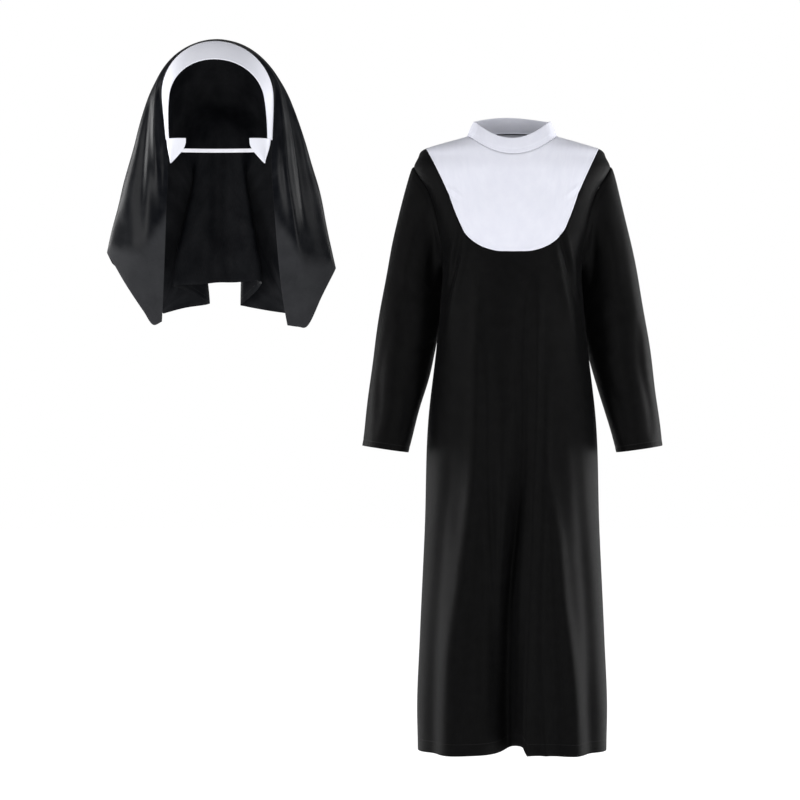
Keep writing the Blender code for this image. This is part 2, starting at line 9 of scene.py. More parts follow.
import bpy
import numpy as np
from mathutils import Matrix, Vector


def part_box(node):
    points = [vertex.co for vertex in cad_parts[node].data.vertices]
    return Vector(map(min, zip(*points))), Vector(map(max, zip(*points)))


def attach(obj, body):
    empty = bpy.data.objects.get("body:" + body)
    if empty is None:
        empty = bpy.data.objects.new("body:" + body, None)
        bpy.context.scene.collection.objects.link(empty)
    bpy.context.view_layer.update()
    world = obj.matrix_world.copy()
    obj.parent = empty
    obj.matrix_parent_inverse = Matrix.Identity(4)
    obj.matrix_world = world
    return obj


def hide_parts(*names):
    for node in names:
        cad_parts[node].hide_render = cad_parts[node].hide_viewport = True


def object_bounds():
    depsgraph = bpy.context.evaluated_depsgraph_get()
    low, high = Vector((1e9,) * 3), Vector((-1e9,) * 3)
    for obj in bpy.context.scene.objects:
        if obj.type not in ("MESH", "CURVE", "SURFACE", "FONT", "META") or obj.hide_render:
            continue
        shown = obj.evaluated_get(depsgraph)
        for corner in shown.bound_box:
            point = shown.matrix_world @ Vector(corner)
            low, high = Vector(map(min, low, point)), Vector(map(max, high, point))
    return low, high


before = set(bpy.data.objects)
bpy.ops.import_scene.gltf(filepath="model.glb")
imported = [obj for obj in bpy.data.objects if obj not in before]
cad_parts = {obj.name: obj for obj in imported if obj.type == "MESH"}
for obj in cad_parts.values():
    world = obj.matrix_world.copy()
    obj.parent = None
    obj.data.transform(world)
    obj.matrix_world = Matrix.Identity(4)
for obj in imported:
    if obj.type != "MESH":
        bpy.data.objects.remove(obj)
solid_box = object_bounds()

# ---- Camera ---------------------------------------------------------------------------------------
# A long lens, level with the middle of the set and straight in front of it.
CAMERA_DISTANCE = 6.6
MIDDLE_X, MIDDLE_Z = -0.2464, -0.5786


def placed(name, data):
    """A new object with that data, put into the scene."""
    made = bpy.data.objects.new(name, data)
    bpy.context.collection.objects.link(made)
    return made


camera_data = bpy.data.cameras.new("camera")
camera_data.lens = 135
camera_data.sensor_width = 36
camera = placed("camera", camera_data)
camera.location = (MIDDLE_X, -CAMERA_DISTANCE, MIDDLE_Z)
camera.rotation_euler = (pi / 2, 0, 0)
bpy.context.scene.camera = camera

# ---- Robe, front panel ----------------------------------------------------------------------------
# Black polyester knit, cut in one piece from the yoke and the armholes to the hem. It is sewn to the
# yoke, the sleeves and the back with turned-in seams, and its hem is turned up and stitched.
KNIT = 0.0010                    # thickness of the knit
SEAM_SET_IN = 0.00015            # a sewn edge stops this far short of the seam's line
SEAM_TURN = 0.0040               # and turns in by this much
ROBE_HEM = 0.022                 # depth of the turned-up hem
UNDERARM_Z, SHOULDER_Z = -0.285, -0.067
HEM_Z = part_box("robe_front")[0][2]
ARMHOLE_REACH = 0.22             # how far the armhole runs onto each panel, in quarter turns
SHOULDER_SEAM = 0.975            # shoulder seam, in quarter turns from centre front
YOKE_SIDE = 0.68                 # share of the yoke's half edge that faces the armhole


def named(kind, rows):
    """Rows of numbers as rows with named columns."""
    return [kind(*row) for row in rows]


Level = namedtuple("Level", "z half_width front back squareness")
BODY = named(Level, [
    (0.016, 0.08, 0.06, 0.058, 2), (0.001, 0.099, 0.064, 0.062, 2), (-0.012, 0.145, 0.068, 0.066, 2.05),
    (-0.026, 0.19, 0.074, 0.071, 2.1), (-0.048, 0.2075, 0.082, 0.078, 2.15),
    (-0.069, 0.216, 0.089, 0.084, 2.2), (-0.088, 0.211, 0.093, 0.088, 2.3),
    (-0.115, 0.1965, 0.098, 0.093, 2.4), (-0.152, 0.1835, 0.104, 0.099, 2.5),
    (-0.21, 0.17, 0.11, 0.104, 2.6), (-0.285, 0.1535, 0.114, 0.106, 2.6),
    (-0.367, 0.157, 0.114, 0.104, 2.5), (-0.479, 0.168, 0.112, 0.104, 2.4),
    (-0.614, 0.1835, 0.114, 0.107, 2.3), (-0.858, 0.192, 0.119, 0.112, 2.25),
    (-1.1, 0.203, 0.125, 0.118, 2.25), (-1.26, 0.209, 0.129, 0.122, 2.25),
    (-1.346, 0.207, 0.13, 0.123, 2.25),
])

# Each fold is a line down the cloth. A row gives a place on it, how far it stands out there, and its
# spread to the left and to the right, all in millimetres. A trough's height is negative.
FoldRow = namedtuple("FoldRow", "x z height left right")


def folds(lines):
    """The lines' rows of millimetres as named rows of metres."""
    return [[FoldRow(*(number / 1000 for number in row)) for row in line] for line in lines]


FRONT_FOLDS = folds([
    [  # long ridge on the left of the middle
        (-80, -300, 0, 12, 12), (-82, -420, 4, 14, 12), (-83, -605, 7, 20, 12), (-88, -758, 9, 22, 13),
        (-101, -870, 11, 22, 15), (-111, -966, 12, 24, 18), (-125, -1068, 13, 26, 20),
        (-138, -1171, 13, 26, 22), (-141, -1346, 13, 26, 24),
    ],
    [  # dark line that falls into the deep middle trough
        (-58, -470, 0, 10, 10), (-58, -600, -4, 9, 12), (-58, -708, -6, 9, 13), (-55, -784, -8, 10, 13),
        (-50, -940, -10, 10, 14), (-46, -1098, -10, 14, 14), (-48, -1346, -8, 20, 16),
    ],
    [  # soft rise between that line and the middle trough
        (-28, -520, 0, 16, 16), (-26, -700, 6, 15, 16), (-26, -836, 8, 14, 12), (-30, -960, 6, 12, 10),
        (-36, -1100, 0, 10, 10),
    ],
    [  # deep trough in the middle, steep on its right
        (42, -290, 0, 12, 10), (26, -370, -6, 16, 10), (21, -460, -10, 18, 10), (20, -640, -14, 19, 10),
        (17, -740, -19, 20, 11), (8, -840, -26, 20, 13), (-4, -960, -36, 24, 15),
        (-11, -1060, -44, 28, 18), (-14, -1180, -50, 31, 20), (-14, -1346, -52, 32, 19),
    ],
    [  # thin sharp ridge beside the trough
        (56, -300, 0, 10, 12), (50, -430, 5, 7, 12), (48, -594, 6, 6, 12), (43, -732, 6, 6, 13),
        (36, -888, 7, 6, 14), (30, -1042, 8, 6, 15), (25, -1171, 9, 6, 15), (21, -1346, 11, 5, 14),
    ],
    [  # faint stripe right of the sharp ridge
        (75, -480, 0, 8, 10), (73, -605, 3, 7, 10), (67, -838, 3, 6, 9), (59, -1068, 4, 6, 8),
        (60, -1180, 3, 6, 8), (65, -1310, 5, 5, 8), (66, -1346, 7, 5, 8),
    ],
    [  # hollow between the stripe and the right ridge
        (82, -860, 0, 10, 10), (86, -1060, -5, 12, 12), (92, -1200, -7, 13, 14), (96, -1346, -8, 14, 14),
    ],
    [  # long ridge on the right
        (78, -690, 0, 10, 14), (81, -784, 4, 8, 16), (93, -888, 8, 9, 18), (104, -1016, 10, 10, 20),
        (117, -1119, 11, 11, 22), (128, -1223, 11, 12, 22), (133, -1346, 11, 14, 22),
    ],
    [  # hollow towards the left side seam
        (-130, -640, 0, 14, 14), (-158, -900, -5, 16, 16), (-176, -1150, -8, 16, 18),
        (-180, -1346, -9, 14, 18),
    ],
    [  # hollow towards the right side seam
        (124, -560, 0, 14, 14), (146, -820, -4, 16, 16), (166, -1100, -7, 18, 16),
        (174, -1346, -8, 18, 14),
    ],
    [  # drape from the yoke's left lower corner: a dark line between two light ones
        (-112, -190, 0, 6, 6), (-118, -222, -4, 5, 5), (-131, -295, -6, 6, 6), (-142, -345, -4, 8, 8),
        (-151, -400, 0, 10, 10),
    ],
    [
        (-121, -205, 0, 5, 5), (-128, -245, 4, 6, 5), (-140, -310, 4, 8, 5), (-150, -380, 0, 10, 8),
    ],
    [
        (-101, -225, 0, 6, 7), (-108, -262, 4, 6, 8), (-126, -335, 5, 7, 10), (-143, -414, 3, 9, 14),
        (-155, -520, 0, 12, 18),
    ],
    [  # drape from the yoke's right lower corner
        (100, -195, 0, 6, 6), (104, -225, -4, 5, 5), (117, -275, -6, 6, 6), (130, -330, -5, 7, 7),
        (146, -410, 0, 10, 10),
    ],
    [
        (88, -232, 0, 8, 6), (94, -265, 4, 9, 6), (110, -335, 5, 10, 7), (127, -412, 3, 13, 9),
        (142, -530, 0, 16, 12),
    ],
    [
        (113, -210, 0, 5, 5), (121, -250, 4, 5, 6), (134, -315, 4, 6, 8), (148, -395, 0, 8, 10),
    ],
    [  # hollow of the armpit, left and right
        (-150, -200, 0, 10, 12), (-152, -262, -6, 14, 10), (-160, -330, -5, 16, 10),
        (-166, -420, 0, 16, 12),
    ],
    [
        (150, -205, 0, 12, 10), (151, -266, -6, 10, 14), (159, -336, -5, 10, 16), (166, -430, 0, 12, 16),
    ],
    [  # small tension creases of the yoke, each a trough with a ridge above it
        (-151, -120, 0, 4, 4), (-140, -131, -1.6, 4, 4), (-127, -143, -1.2, 4, 4), (-116, -152, 0, 4, 4),
    ],
    [
        (-143, -110, 0, 5, 5), (-132, -121, 1.6, 6, 5), (-119, -133, 1, 6, 5), (-106, -143, 0, 5, 5),
    ],
    [
        (152, -118, 0, 4, 4), (143, -127, -1.6, 4, 4), (129, -139, -1.2, 4, 4), (117, -150, 0, 4, 4),
    ],
    [
        (145, -107, 0, 5, 5), (135, -117, 1.6, 5, 6), (121, -130, 1, 5, 6), (108, -141, 0, 5, 5),
    ],
    [  # the yoke lies a little hollow below the collar, left and right of the throat
        (-52, -50, 0, 16, 16), (-66, -105, -2, 20, 20), (-78, -165, 0, 22, 22),
    ],
    [
        (50, -55, 0, 16, 16), (62, -115, -2.2, 20, 20), (70, -180, 0, 22, 22),
    ],
])
BACK_FOLDS = folds([
    [
        (-84, -330, 0, 14, 14), (-98, -560, 8, 18, 16), (-124, -860, 12, 20, 20),
        (-150, -1346, 13, 24, 26),
    ],
    [
        (-58, -300, 0, 12, 12), (-66, -560, -9, 14, 12), (-86, -900, -15, 20, 16),
        (-104, -1346, -18, 24, 20),
    ],
    [
        (-36, -240, 0, 12, 14), (-41, -480, 8, 14, 18), (-47, -900, 13, 16, 22), (-55, -1346, 14, 18, 24),
    ],
    [
        (-2, -430, 0, 14, 12), (-4, -680, -12, 16, 13), (-6, -1000, -20, 20, 16), (-8, -1346, -22, 22, 18),
    ],
    [
        (33, -270, 0, 14, 12), (36, -520, 9, 18, 14), (40, -900, 14, 22, 16), (44, -1346, 15, 24, 18),
    ],
    [
        (62, -370, 0, 12, 14), (70, -620, -9, 12, 18), (82, -960, -15, 16, 22), (92, -1346, -17, 18, 24),
    ],
    [
        (90, -330, 0, 16, 14), (106, -640, 8, 20, 18), (126, -1000, 12, 24, 22), (142, -1346, 12, 26, 24),
    ],
    [  # short creases across the small of the back and under the shoulders
        (-120, -110, 0, 8, 10), (-104, -170, -4, 10, 12), (-90, -250, 0, 12, 14),
    ],
    [
        (126, -100, 0, 10, 8), (108, -165, -4, 12, 10), (94, -260, 0, 14, 12),
    ],
])


def through(keys, rows, key):
    """The rows' values at each key, on a cubic that passes every row."""
    keys, rows, key = np.asarray(keys, float), np.asarray(rows, float), np.asarray(key, float)
    slopes = np.gradient(rows, keys, axis=0, edge_order=1)
    key = np.clip(key, keys[0], keys[-1])
    i = np.clip(np.searchsorted(keys, key, side="right") - 1, 0, len(keys) - 2)
    step = (keys[i + 1] - keys[i])[..., None]
    t = (key - keys[i])[..., None] / step
    return ((1 + 2 * t) * (1 - t) ** 2 * rows[i] + t * (1 - t) ** 2 * step * slopes[i]
            + t * t * (3 - 2 * t) * rows[i + 1] - t * t * (1 - t) * step * slopes[i + 1])


def columns_at(table, place, sign=1):
    """A table's other columns at each place in its first column. sign is -1 where the first one falls."""
    rows = through([sign * row[0] for row in table], [row[1:] for row in table], sign * np.asarray(place))
    return np.moveaxis(rows, -1, 0)


def even(start, end, steps):
    """Numbers in even steps from start to end."""
    return np.linspace(start, end, steps + 1)


def bell(distance, spread):
    """1 at no distance, falling smoothly away on both sides."""
    return np.exp(-(distance / spread) ** 2)


def eased(t):
    """0 below 0, 1 above 1, and a smooth rise between."""
    t = np.clip(t, 0, 1)
    return t * t * (3 - 2 * t)


def fold_height(folds, x, z):
    """How far the folds lift the cloth at each place."""
    total = np.zeros(np.broadcast(x, z).shape)
    for fold in folds:
        keys = [-row.z for row in fold]
        middle, height, left, right = np.moveaxis(through(keys, [(r.x, *r[2:]) for r in fold], -z), -1, 0)
        inside = (-z > keys[0]) & (-z < keys[-1] + 0.001)
        away = x - middle
        spread = np.where(away < 0, left, right)
        total += np.where(inside, height * bell(away, np.maximum(spread, 0.002)), 0)
    return total


def ripple(across, down, height):
    """Slow unevenness of hanging cloth, up to about that height."""
    waves = (np.sin(across * 61 + down * 9 + 0.6) + np.sin(across * 37 - down * 17 + 2.1)
             + np.sin(across * 103 + down * 23 + 4.4) * 0.5 + np.sin(down * 41 - across * 19 + 1.3) * 0.5)
    return height / 3 * waves


TROUGH_X = 0.010                 # the deep trough's right side at the hem


def hem_lift(turn, front):
    """How much higher than its level the hem hangs: it is drawn up in the deep trough, and dips beside it."""
    x = np.sin(turn * pi / 2) * BODY[-1].half_width
    away = x - TROUGH_X
    drawn = 0.020 * np.where(away < 0, bell(np.minimum(away, 0), 0.034),
                             np.exp(-(away / 0.0125) ** 6))
    dips = -0.003 * bell(x + 0.125, 0.04) - 0.004 * bell(x - 0.120, 0.04)
    return np.where(front, drawn + dips, 0.003 * np.sin(x * 55 + 0.8))


RIPPLE_HEIGHT, RIPPLE_Z = 0.0016, -0.22  # unevenness of the cloth, and the level below which it has it
LIFT_Z = -1.10                           # level below which the hem's lift bends the cloth


def body(turn, z):
    """Points of the robe's body. turn counts quarter turns from centre front: 1 is the right side."""
    turn, z = np.broadcast_arrays(np.asarray(turn, float), np.asarray(z, float))
    half_width, front_reach, back_reach, n = columns_at(BODY, z, -1)
    s, c = np.sin(turn * pi / 2), np.cos(turn * pi / 2)
    depth = (1 - np.minimum(np.abs(s), 1) ** n) ** (1 / n)
    front = c >= 0
    reach = np.where(front, front_reach, back_reach)
    x, y = half_width * s, np.where(front, -reach * depth, reach * depth)
    out = np.stack((x / half_width ** 2, y / reach ** 2, 0 * x), -1)
    out /= np.linalg.norm(out, axis=-1, keepdims=True)
    folds = np.where(front, fold_height(FRONT_FOLDS, x, z), fold_height(BACK_FOLDS, x, z))
    folds = folds + ripple(x, z, RIPPLE_HEIGHT) * eased((RIPPLE_Z - z) / 0.15)
    low = eased((LIFT_Z - z) / (LIFT_Z - HEM_Z)) ** 2
    points = np.stack((x, y, z + low * hem_lift(turn, front)), -1)
    return points + out * ((1 - np.abs(s) ** 10) * folds)[..., None]


def armhole(part, back=False):
    """The right armhole as (turn, z): part 0 is the shoulder point, 1 the underarm."""
    angle = pi * np.asarray(part, float)
    middle, half = (SHOULDER_Z + UNDERARM_Z) / 2, (SHOULDER_Z - UNDERARM_Z) / 2
    reach = ARMHOLE_REACH * np.sin(angle)
    blend = (1 - SHOULDER_SEAM) * (0.5 + 0.5 * np.cos(angle)) ** 4
    return (1 + reach if back else 1 - reach) - blend, middle + half * np.cos(angle)


YokeEdge = namedtuple("YokeEdge", "half_width z")
YOKE_EDGE = named(YokeEdge, [
    (0.1899, -0.026), (0.1665, -0.074), (0.1435, -0.1245), (0.1215, -0.183), (0.104, -0.219),
    (0.077, -0.242), (0.0415, -0.255), (0, -0.257),
])


def half_width_at(z):
    """Half the body's width at each height."""
    return columns_at(BODY, z, -1)[0]


def turn_at(x, z):
    """The quarter turn at which the body's front has that x."""
    return np.arcsin(np.clip(x / half_width_at(z), -1, 1)) * 2 / pi


def yoke_edge(part):
    """The yoke's edge as (turn, z), from the shoulder seam (0) to centre front (1)."""
    steps = [np.hypot(b.half_width - a.half_width, b.z - a.z) for a, b in zip(YOKE_EDGE, YOKE_EDGE[1:])]
    lengths = np.concatenate(([0], np.cumsum(steps)))
    x, z = np.moveaxis(through(lengths / lengths[-1], YOKE_EDGE, part), -1, 0)
    return np.minimum(turn_at(x, z), SHOULDER_SEAM), z


ARM_STEPS, LOW_STEPS = 56, 72            # mesh steps along the armhole, and from there to centre front
side_parts = even(0, YOKE_SIDE, ARM_STEPS)
low_parts = even(YOKE_SIDE, 1, LOW_STEPS)[1:]
yoke_parts = np.concatenate((side_parts, low_parts))


def both_sides(turn, z):
    """Curves from the right edge to centre front, made whole from left to right."""
    return (np.concatenate((-turn, turn[..., -2::-1]), axis=-1),
            np.concatenate((z, z[..., -2::-1]), axis=-1))


def ruled(start, end, shares):
    """Places (turn, z) at some shares of the way between two curves, one row for each share."""
    t = np.asarray(shares)[:, None]
    return start[0] + (end[0] - start[0]) * t, start[1] + (end[1] - start[1]) * t


def on_cloth(points):
    """Each place's distance across and down the cloth, for weave and stitches, from a grid of points."""
    across = np.linalg.norm(np.diff(points, axis=1), axis=-1)
    down = np.linalg.norm(np.diff(points, axis=0), axis=-1)
    u = np.concatenate((np.zeros((len(points), 1)), np.cumsum(across, axis=1)), axis=1)
    v = np.concatenate((np.zeros((1, points.shape[1])), np.cumsum(down, axis=0)), axis=0)
    u = u - u[:, u.shape[1] // 2][:, None]
    return np.stack((u, -np.broadcast_to(v.mean(axis=1)[:, None], u.shape)), -1)


def patch(index, uv):
    """Four-cornered faces of a grid of vertex numbers, rows running down and columns to the right."""
    def corners(grid):
        return np.stack((grid[1:, :-1], grid[1:, 1:], grid[:-1, 1:], grid[:-1, :-1]), 2)
    return corners(index).reshape(-1, 4), corners(uv).reshape(-1, 4, 2)


def unit(vectors):
    """Vectors made one metre long."""
    return vectors / np.maximum(np.linalg.norm(vectors, axis=-1, keepdims=True), 1e-12)


RIM_ROUND, RIM_BEVEL = 0.35, 0.15        # a free edge's bulge and bevel, in shares of its wall


def cloth(name, points, faces, face_uv, wall, sewn, thicker, values={}):
    """A wall of cloth below a surface: sewn edges turn in, and free edges are rounded.

    sewn says which points lie on a sewn edge, thicker how much more wall each point has, and values
    holds named numbers, one for each point, for the material to read.
    """
    count = len(points)
    facing = np.cross(points[faces[:, 2]] - points[faces[:, 0]], points[faces[:, 3]] - points[faces[:, 1]])
    out = np.zeros_like(points)
    for k in range(4):
        np.add.at(out, faces[:, k], facing)
    out = unit(out)
    edges = np.stack((faces, np.roll(faces, -1, axis=1)), -1).reshape(-1, 2)
    edges = edges[edges[:, 0] != edges[:, 1]]
    key = edges.min(axis=1) * count + edges.max(axis=1)
    _, place, uses = np.unique(key, return_index=True, return_counts=True)
    rim = edges[place[uses == 1]]
    past = np.zeros_like(points)
    sideways = unit(np.cross(points[rim[:, 1]] - points[rim[:, 0]], out[rim[:, 0]] + out[rim[:, 1]]))
    for k in range(2):
        np.add.at(past, rim[:, k], sideways)
    edge = np.unique(rim)
    past, turned = unit(past[edge]), sewn[edge][:, None]
    walls = wall + thicker[:, None]
    outer, inner = points.copy(), points - out * walls
    w, e = walls[edge], out[edge]
    inner[edge] -= np.where(turned, past * wall, 0)
    outer[edge] -= np.where(turned, past * SEAM_SET_IN, 0)
    bulge = past * RIM_ROUND * w
    first = outer[edge] + np.where(turned, -e * SEAM_TURN, bulge - e * RIM_BEVEL * w)
    second = outer[edge] + np.where(turned, -e * SEAM_TURN - past * wall, bulge - e * (1 - RIM_BEVEL) * w)
    number = np.zeros(count, int)
    number[edge] = np.arange(len(edge))
    a, b = rim[:, 0], rim[:, 1]
    ra, rb = number[a] + 2 * count, number[b] + 2 * count
    more = len(edge)
    rims = np.concatenate((np.stack((b, a, ra, rb), 1), np.stack((rb, ra, ra + more, rb + more), 1),
                           np.stack((rb + more, ra + more, a + count, b + count), 1)))
    all_faces = np.concatenate((faces, faces[:, ::-1] + count, rims))
    point_uv = np.zeros((count, 2))
    point_uv[faces.reshape(-1)] = face_uv.reshape(-1, 2)
    whose = np.concatenate((np.arange(count), np.arange(count), edge, edge))
    all_uv = np.concatenate((face_uv, face_uv[:, ::-1], point_uv[whose[rims]]))
    kept_faces, places = [], []
    for face, corners in zip(all_faces.tolist(), all_uv.tolist()):
        single = list(dict.fromkeys(face))
        if len(single) >= 3:
            kept_faces.append(single)
            places += [corners[face.index(vertex)] for vertex in single]
    mesh = bpy.data.meshes.new(name)
    mesh.from_pydata(np.concatenate((outer, inner, first, second)).tolist(), [], kept_faces)
    mesh.uv_layers.new(name="cloth").data.foreach_set("uv", np.array(places).reshape(-1))
    within = np.concatenate((np.zeros(count), np.ones(count), np.zeros(2 * more)))
    read = {"inner_face": within, **{title: numbers[whose] for title, numbers in values.items()}}
    for title, numbers in read.items():
        mesh.attributes.new(title, "FLOAT", "POINT").data.foreach_set("value", numbers)
    mesh.shade_smooth()
    mesh.validate()
    return placed(name, mesh)


def grid_cloth(name, grid, wall, sewn=False, thicker=0.0, closed=False, values={}):
    """Cloth from a grid of points, rows running down and columns to the right, or round a closed tube.

    sewn and thicker hold one value for the whole grid, one for each row or one for each point.
    """
    points = grid[:, :-1] if closed else grid
    shape = points.shape[:2]
    index = np.arange(shape[0] * shape[1]).reshape(shape)
    if closed:
        index = np.concatenate((index, index[:, :1]), axis=1)
    faces, corners = patch(index, on_cloth(grid))
    sewn, thicker = np.broadcast_to(sewn, shape).reshape(-1), np.broadcast_to(thicker, shape).reshape(-1)
    return cloth(name, points.reshape(-1, 3), faces, corners, wall, sewn, thicker, values)


def nodes_of(name):
    """A new material, makers of its nodes, links and sums, and its shader."""
    material = bpy.data.materials.new(name)
    material.use_nodes = True
    tree = material.node_tree

    def add(kind, **settings):
        node = tree.nodes.new(kind)
        for key, value in settings.items():
            if hasattr(node, key):
                setattr(node, key, value)
            else:
                node.inputs[key.replace("_", " ")].default_value = value
        return node

    def maths(operation, *values):
        node = add("ShaderNodeMath", operation=operation)
        for socket, value in zip(node.inputs, values):
            if isinstance(value, (int, float)):
                socket.default_value = value
            else:
                tree.links.new(value, socket)
        return node.outputs[0]
    return material, add, tree.links.new, maths, tree.nodes["Principled BSDF"]


def finish_face(add, link, shader, shade, low, high, height, relief, depth, settings):
    """Colours a shader from low to high by shade, lifts its face by height, and sets its other sockets."""
    colour = add("ShaderNodeMix", data_type="RGBA")
    colour.inputs["A"].default_value = (*low, 1)
    colour.inputs["B"].default_value = (*high, 1)
    link(shade, colour.inputs["Factor"])
    link(colour.outputs["Result"], shader.inputs["Base Color"])
    bump = add("ShaderNodeBump", Strength=relief, Distance=depth)
    link(height, bump.inputs["Height"])
    link(bump.outputs[0], shader.inputs["Normal"])
    for socket, value in settings.items():
        shader.inputs[socket].default_value = value


def knit_relief(add, link, maths, place, wale, course):
    """Height of a plain knit: columns of small V stitches, as wide and as tall as given, in metres."""
    parts = add("ShaderNodeSeparateXYZ")
    link(place, parts.inputs[0])
    column = maths("DIVIDE", parts.outputs[0], wale)
    row = maths("DIVIDE", parts.outputs[1], course)
    within = maths("ABSOLUTE", maths("SUBTRACT", maths("FRACT", column), 0.5))
    slanted = maths("ADD", row, maths("MULTIPLY", within, 1.5))
    stitch = maths("SINE", maths("MULTIPLY", slanted, 2 * pi))
    ridge = maths("SINE", maths("MULTIPLY", within, 2 * pi))
    softened = maths("ADD", maths("MULTIPLY", stitch, 0.35), 0.65)
    return maths("MULTIPLY", softened, ridge)


def knit(name, low, high, roughness, specular, sheen, sheen_colour, wale=0.0011, relief=0.35):
    """Knitted cloth: V stitches, a slow mottle in its colour, and a little fuzz on its face."""
    material, add, link, maths, shader = nodes_of(name)
    place = add("ShaderNodeUVMap", uv_map="cloth").outputs[0]
    stitches = knit_relief(add, link, maths, place, wale, wale * 0.8)
    mottle = add("ShaderNodeTexNoise", Scale=38.0, Detail=4.0, Roughness=0.6)
    link(place, mottle.inputs["Vector"])
    shade = add("ShaderNodeMapRange", From_Min=0.3, From_Max=0.75)
    link(maths("ADD", maths("MULTIPLY", stitches, 0.25),
               maths("MULTIPLY", mottle.outputs["Fac"], 0.75)), shade.inputs["Value"])
    finish_face(add, link, shader, shade.outputs[0], low, high, stitches, relief, 0.0003, {
        "Roughness": roughness, "Specular IOR Level": specular, "Sheen Weight": sheen,
        "Sheen Roughness": 0.45, "Sheen Tint": (*sheen_colour, 1)})
    return material


black_knit = knit("black_knit", (0.0011, 0.0011, 0.0012), (0.0032, 0.0032, 0.0034), 0.50, 0.055, 0.020,
                  (0.75, 0.76, 0.80))
black_thread = knit("black_thread", (0.006, 0.006, 0.006), (0.014, 0.014, 0.014), 0.5, 0.4, 0.1,
                    (0.8, 0.8, 0.8), wale=0.0004)


def finish_piece(piece, material, node, with_pieces=()):
    """Gives a sheet of cloth its material, hangs it and its trims on the root, and hides the solid it stands
    in for.
    """
    piece.data.materials.append(material)
    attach(piece, "root")
    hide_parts(node)
    for trim in with_pieces:
        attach(trim, "root")


def stitch_tree():
    """Geometry nodes that set stitches along a line, longer than they are wide, lying on the cloth."""
    tree = bpy.data.node_groups.new("stitches", "GeometryNodeTree")
    sockets = tree.interface
    sockets.new_socket("Line", in_out="INPUT", socket_type="NodeSocketGeometry")
    for title, size in (("Pitch", 0.003), ("Stitch length", 0.0022), ("Thread", 0.0005)):
        sockets.new_socket(title, in_out="INPUT", socket_type="NodeSocketFloat").default_value = size
    sockets.new_socket("Material", in_out="INPUT", socket_type="NodeSocketMaterial")
    sockets.new_socket("Stitches", in_out="OUTPUT", socket_type="NodeSocketGeometry")
    add, link = tree.nodes.new, tree.links.new
    given, result = add("NodeGroupInput"), add("NodeGroupOutput")
    curve = add("GeometryNodeMeshToCurve")
    spaced = add("GeometryNodeResampleCurve")
    spaced.mode = "LENGTH"
    tangent = add("GeometryNodeInputTangent")
    aim = add("FunctionNodeAlignRotationToVector")
    aim.axis = "X"
    stitch = add("GeometryNodeMeshUVSphere")
    stitch.inputs["Segments"].default_value = 6
    stitch.inputs["Rings"].default_value = 4
    stitch.inputs["Radius"].default_value = 0.5
    size = add("ShaderNodeCombineXYZ")
    instances = add("GeometryNodeInstanceOnPoints")
    realize = add("GeometryNodeRealizeInstances")
    finish = add("GeometryNodeSetMaterial")
    for start, out, end, into in (
            (given, "Line", curve, 0), (curve, 0, spaced, "Curve"), (given, "Pitch", spaced, "Length"),
            (spaced, 0, instances, "Points"), (stitch, 0, instances, "Instance"),
            (tangent, 0, aim, "Vector"), (aim, 0, instances, "Rotation"),
            (given, "Stitch length", size, 0), (given, "Thread", size, 1), (given, "Thread", size, 2),
            (size, 0, instances, "Scale"), (instances, 0, realize, 0), (realize, 0, finish, "Geometry"),
            (given, "Material", finish, "Material"), (finish, 0, result, 0)):
        link(start.outputs[out], end.inputs[into])
    return tree


STITCHES = stitch_tree()


def stitched(name, lines, material, pitch=0.0030, length=0.0022, thread=0.0005):
    """One mesh of stitches along some lines of points."""
    points, edges = [], []
    for line in lines:
        edges += [(len(points) + k, len(points) + k + 1) for k in range(len(line) - 1)]
        points += [tuple(p) for p in line]
    mesh = bpy.data.meshes.new(name)
    mesh.from_pydata(points, edges, [])
    seam = placed(name, mesh)
    modifier = seam.modifiers.new("stitches", "NODES")
    modifier.node_group = STITCHES
    settings = {"Pitch": pitch, "Stitch length": length, "Thread": thread, "Material": material}
    for socket in STITCHES.interface.items_tree:
        if socket.in_out == "INPUT" and socket.name in settings:
            modifier[socket.identifier] = settings[socket.name]
    whole = seam.evaluated_get(bpy.context.evaluated_depsgraph_get())
    result = bpy.data.meshes.new_from_object(whole)
    result.name = name
    seam.modifiers.remove(modifier)
    seam.data = result
    bpy.data.meshes.remove(mesh)
    result.shade_smooth()
    return seam


HEM_GROOVE, HEM_FLARE = 0.0005, 0.0004   # depth of a hem's stitch line, and how far its edge stands out


def hem_shape(distance, depth):
    """Extra wall of a turned-up hem, and its relief, by distance from the free edge."""
    extra = KNIT * 0.9 * eased((depth + 0.002 - distance) / 0.003)
    groove = -HEM_GROOVE * bell(distance - depth, 0.0016)
    return extra, groove + HEM_FLARE * bell(distance, depth)


def put_out(points, amount):
    """A grid of points moved out of its own surface by some amount at each."""
    across = np.gradient(points, axis=1)
    down = np.gradient(points, axis=0)
    return points + unit(np.cross(down, across)) * np.asarray(amount)[..., None]


DOWN_STEPS = 172
levels = even(UNDERARM_Z, HEM_Z, DOWN_STEPS)
hem_thick, hem_relief = hem_shape(levels - HEM_Z, ROBE_HEM)

edge_line = both_sides(*yoke_edge(yoke_parts))
arm_turn, arm_z = armhole(even(0, 1, ARM_STEPS))
low_turn = even(1, 0, LOW_STEPS)[1:]
under_line = both_sides(np.concatenate((arm_turn, low_turn)),
                        np.concatenate((arm_z, np.full(LOW_STEPS, UNDERARM_Z))))
CHEST_STEPS = 22
chest = body(*ruled(edge_line, under_line, even(0, 1, CHEST_STEPS)))
skirt = put_out(body(under_line[0][None, ARM_STEPS:-ARM_STEPS], levels[:, None]), hem_relief[:, None])
chest_index = np.arange(chest.shape[0] * chest.shape[1]).reshape(chest.shape[:2])
skirt_index = np.arange(skirt.shape[0] * skirt.shape[1]).reshape(skirt.shape[:2])
skirt_index += chest_index.size - skirt.shape[1]
skirt_index[0] = chest_index[-1, ARM_STEPS:-ARM_STEPS]
chest_uv, skirt_uv = on_cloth(chest), on_cloth(skirt)
